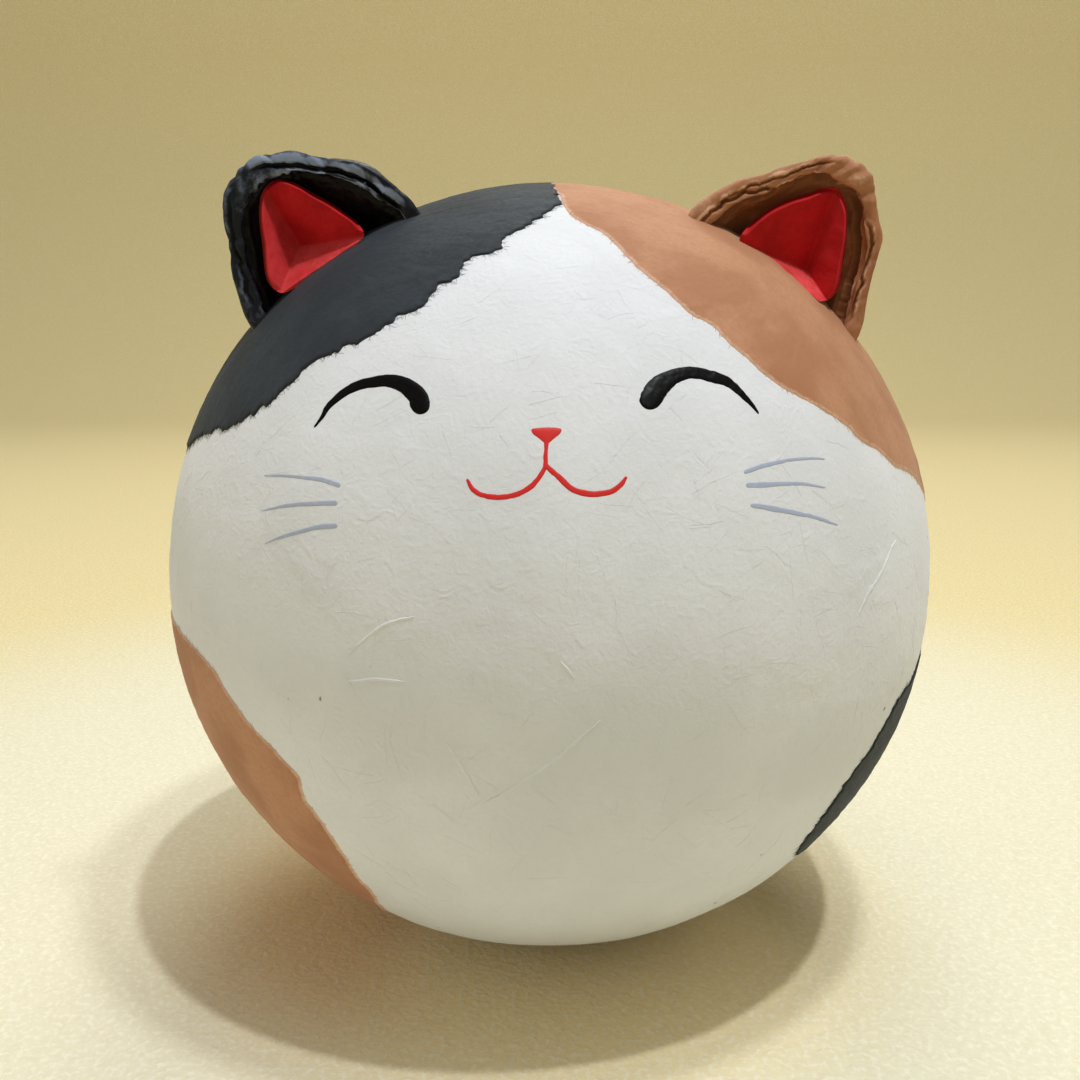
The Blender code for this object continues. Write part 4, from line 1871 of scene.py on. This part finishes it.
@dataclass(frozen=True)
class Studio:
    """A plain pale floor that sweeps up behind, the lamps and the room's soft fill."""

    ball: PaperBall
    reach: float = 1.6
    depth: float = 0.9
    sweep: float = 0.45
    height: float = 2.2
    fill: float = 0.285
    fill_colour: Colour = (1.0, 0.96, 0.88)

    def floor(self) -> None:
        """Makes the floor and its sweep."""
        turns = np.radians(np.linspace(0, 90, 25))
        curve = [(self.depth + self.sweep * math.sin(t), self.sweep * (1 - math.cos(t))) for t in turns]
        line = [(-self.depth, 0.0), *curve, (self.depth + self.sweep, self.height)]
        points = np.array([[(x, y, z) for x in np.linspace(-self.reach, self.reach, 9)] for y, z in line])
        floor = GridMesh("studio_floor", points).build()
        if floor.data.polygons[0].normal.z < 0:
            floor.data.flip_normals()
        FLOOR_CLOTH.dress(floor)

    def build(self) -> None:
        """Makes the floor, the lamps and the room's soft fill."""
        self.floor()
        for lamp in LAMPS:
            lamp.build(self.ball)
        world = bpy.data.worlds.new("room")
        world.use_nodes = True
        air = world.node_tree.nodes["Background"].inputs
        air["Color"].default_value = (*self.fill_colour, 1)
        air["Strength"].default_value = self.fill
        bpy.context.scene.world = world
        bpy.context.scene.view_settings.view_transform = "Standard"


BORDER_FIBRES = (
    (
        LaidFibres(
            name="black_border_fibres", slot=Slot.BLACK, finish=BLACK_FIBRE, length=1.3 * MM,
            thickness=0.04 * MM, spin=115, wiggle=1.3 * MM, seed=301,
        ),
        (BLACK_CROWN, BLACK_FLANK), 0.17 * MM,
    ),
    (
        LaidFibres(
            name="brown_border_fibres", slot=Slot.BROWN, finish=PEACH_FIBRE, length=0.9 * MM,
            thickness=0.05 * MM, spin=80, wiggle=0.5 * MM, seed=311,
        ),
        (BROWN_CROWN, BROWN_FLANK), 0.6 * MM,
    ),
)
WHITE_FIBRES = LaidFibres(
    name="white_fibres", slot=Slot.WHITE, finish=WHITE_WASHI, length=5.5 * MM, thickness=0.05 * MM, spin=180,
    wiggle=2.2 * MM, seed=401, sunk=0.45,
)


@dataclass(frozen=True)
class RolyPolyCat:
    """The whole figurine, from the ball outwards."""

    camera: PhotoCamera
    white_fibre_count: int = 900
    white_margin: float = 3 * MM
    fibre_roots: tuple[float, float] = (0.05, 0.5)

    @property
    def ball(self) -> PaperBall:
        """The ball that carries everything."""
        return self.camera.ball

    def border_fibres(
        self, layer: LaidFibres, patches: tuple[TornPatch, ...], gap: float, skin: bpy.types.Object
    ) -> None:
        """Lays the fibres that stick out of some torn borders.

        Args:
            layer: The fibres' sizes and finish.
            patches: The patches that they stick out of.
            gap: The length of border for each fibre.
            skin: The piece that the fibres lie on.
        """
        random = np.random.default_rng(layer.seed)
        places, toward = [], []
        for patch in patches:
            tangents = patch.spokes(self.camera)[1]
            count = round(len(tangents) * patch.step / gap)
            chosen = np.sort(random.choice(len(tangents), count, replace=False))
            depths = random.uniform(*self.fibre_roots, size=len(tangents)) * MM
            ways = patch.ways(self.camera, depths)
            edge = patch.ways(self.camera, np.zeros(len(tangents)))
            along = unit(np.roll(edge, -2, axis=0) - np.roll(edge, 2, axis=0))
            out = unit(np.cross(along, edge))
            inner = patch.ways(self.camera, np.full(len(tangents), 0.5 * MM))
            out *= np.sign(np.sum(out * (edge - inner), axis=1))[:, None]
            places.append(self.ball.skin(ways[chosen]))
            toward.append(out[chosen])
        piece = layer.build(np.vstack(places), np.vstack(toward), skin, self.ball)
        hand_over(piece, layer.slot)

    def white_fibres(self, skin: bpy.types.Object) -> None:
        """Scatters long pale fibres over the bare white paper.

        Args:
            skin: The piece that the fibres lie on.
        """
        random = np.random.default_rng(WHITE_FIBRES.seed)
        ways = unit(random.normal(size=(self.white_fibre_count * 3, 3)))
        bare = ways[:, 2] > -0.9
        for patch in PATCHES:
            bare &= ~patch.covers(self.camera, ways, self.white_margin)
        ways = ways[bare][: self.white_fibre_count]
        toward = unit(np.cross(ways, random.normal(size=ways.shape)))
        piece = WHITE_FIBRES.build(self.ball.skin(ways), toward, skin, self.ball)
        hand_over(piece, WHITE_FIBRES.slot)

    def build(self) -> None:
        """Builds, dresses and hands over every piece."""
        ball = self.ball.build()
        WHITE_WASHI.dress(ball)
        hand_over(ball, Slot.WHITE, "ball")
        for patch in PATCHES:
            hand_over(patch.build(self.camera), patch.slot)
        for layer, patches, gap in BORDER_FIBRES:
            self.border_fibres(layer, patches, gap, ball)
        self.white_fibres(ball)
        for stroke in FACE + CREASES:
            hand_over(stroke.build(self.camera), stroke.slot)
        for ear in (BLACK_EAR, BROWN_EAR):
            hand_over(ear.build(self.camera), ear.slot, ear.name)
        for lining in LININGS:
            hand_over(lining.build(self.camera), Slot.RED, lining.ear.name + "_lining")


def main() -> None:
    """Builds the view, the studio and the figurine."""
    logging.basicConfig(level=logging.INFO, format="%(message)s")
    camera = PhotoCamera(PaperBall())
    camera.build()
    Studio(camera.ball).build()
    RolyPolyCat(camera).build()


if __name__ == "__main__":
    main()
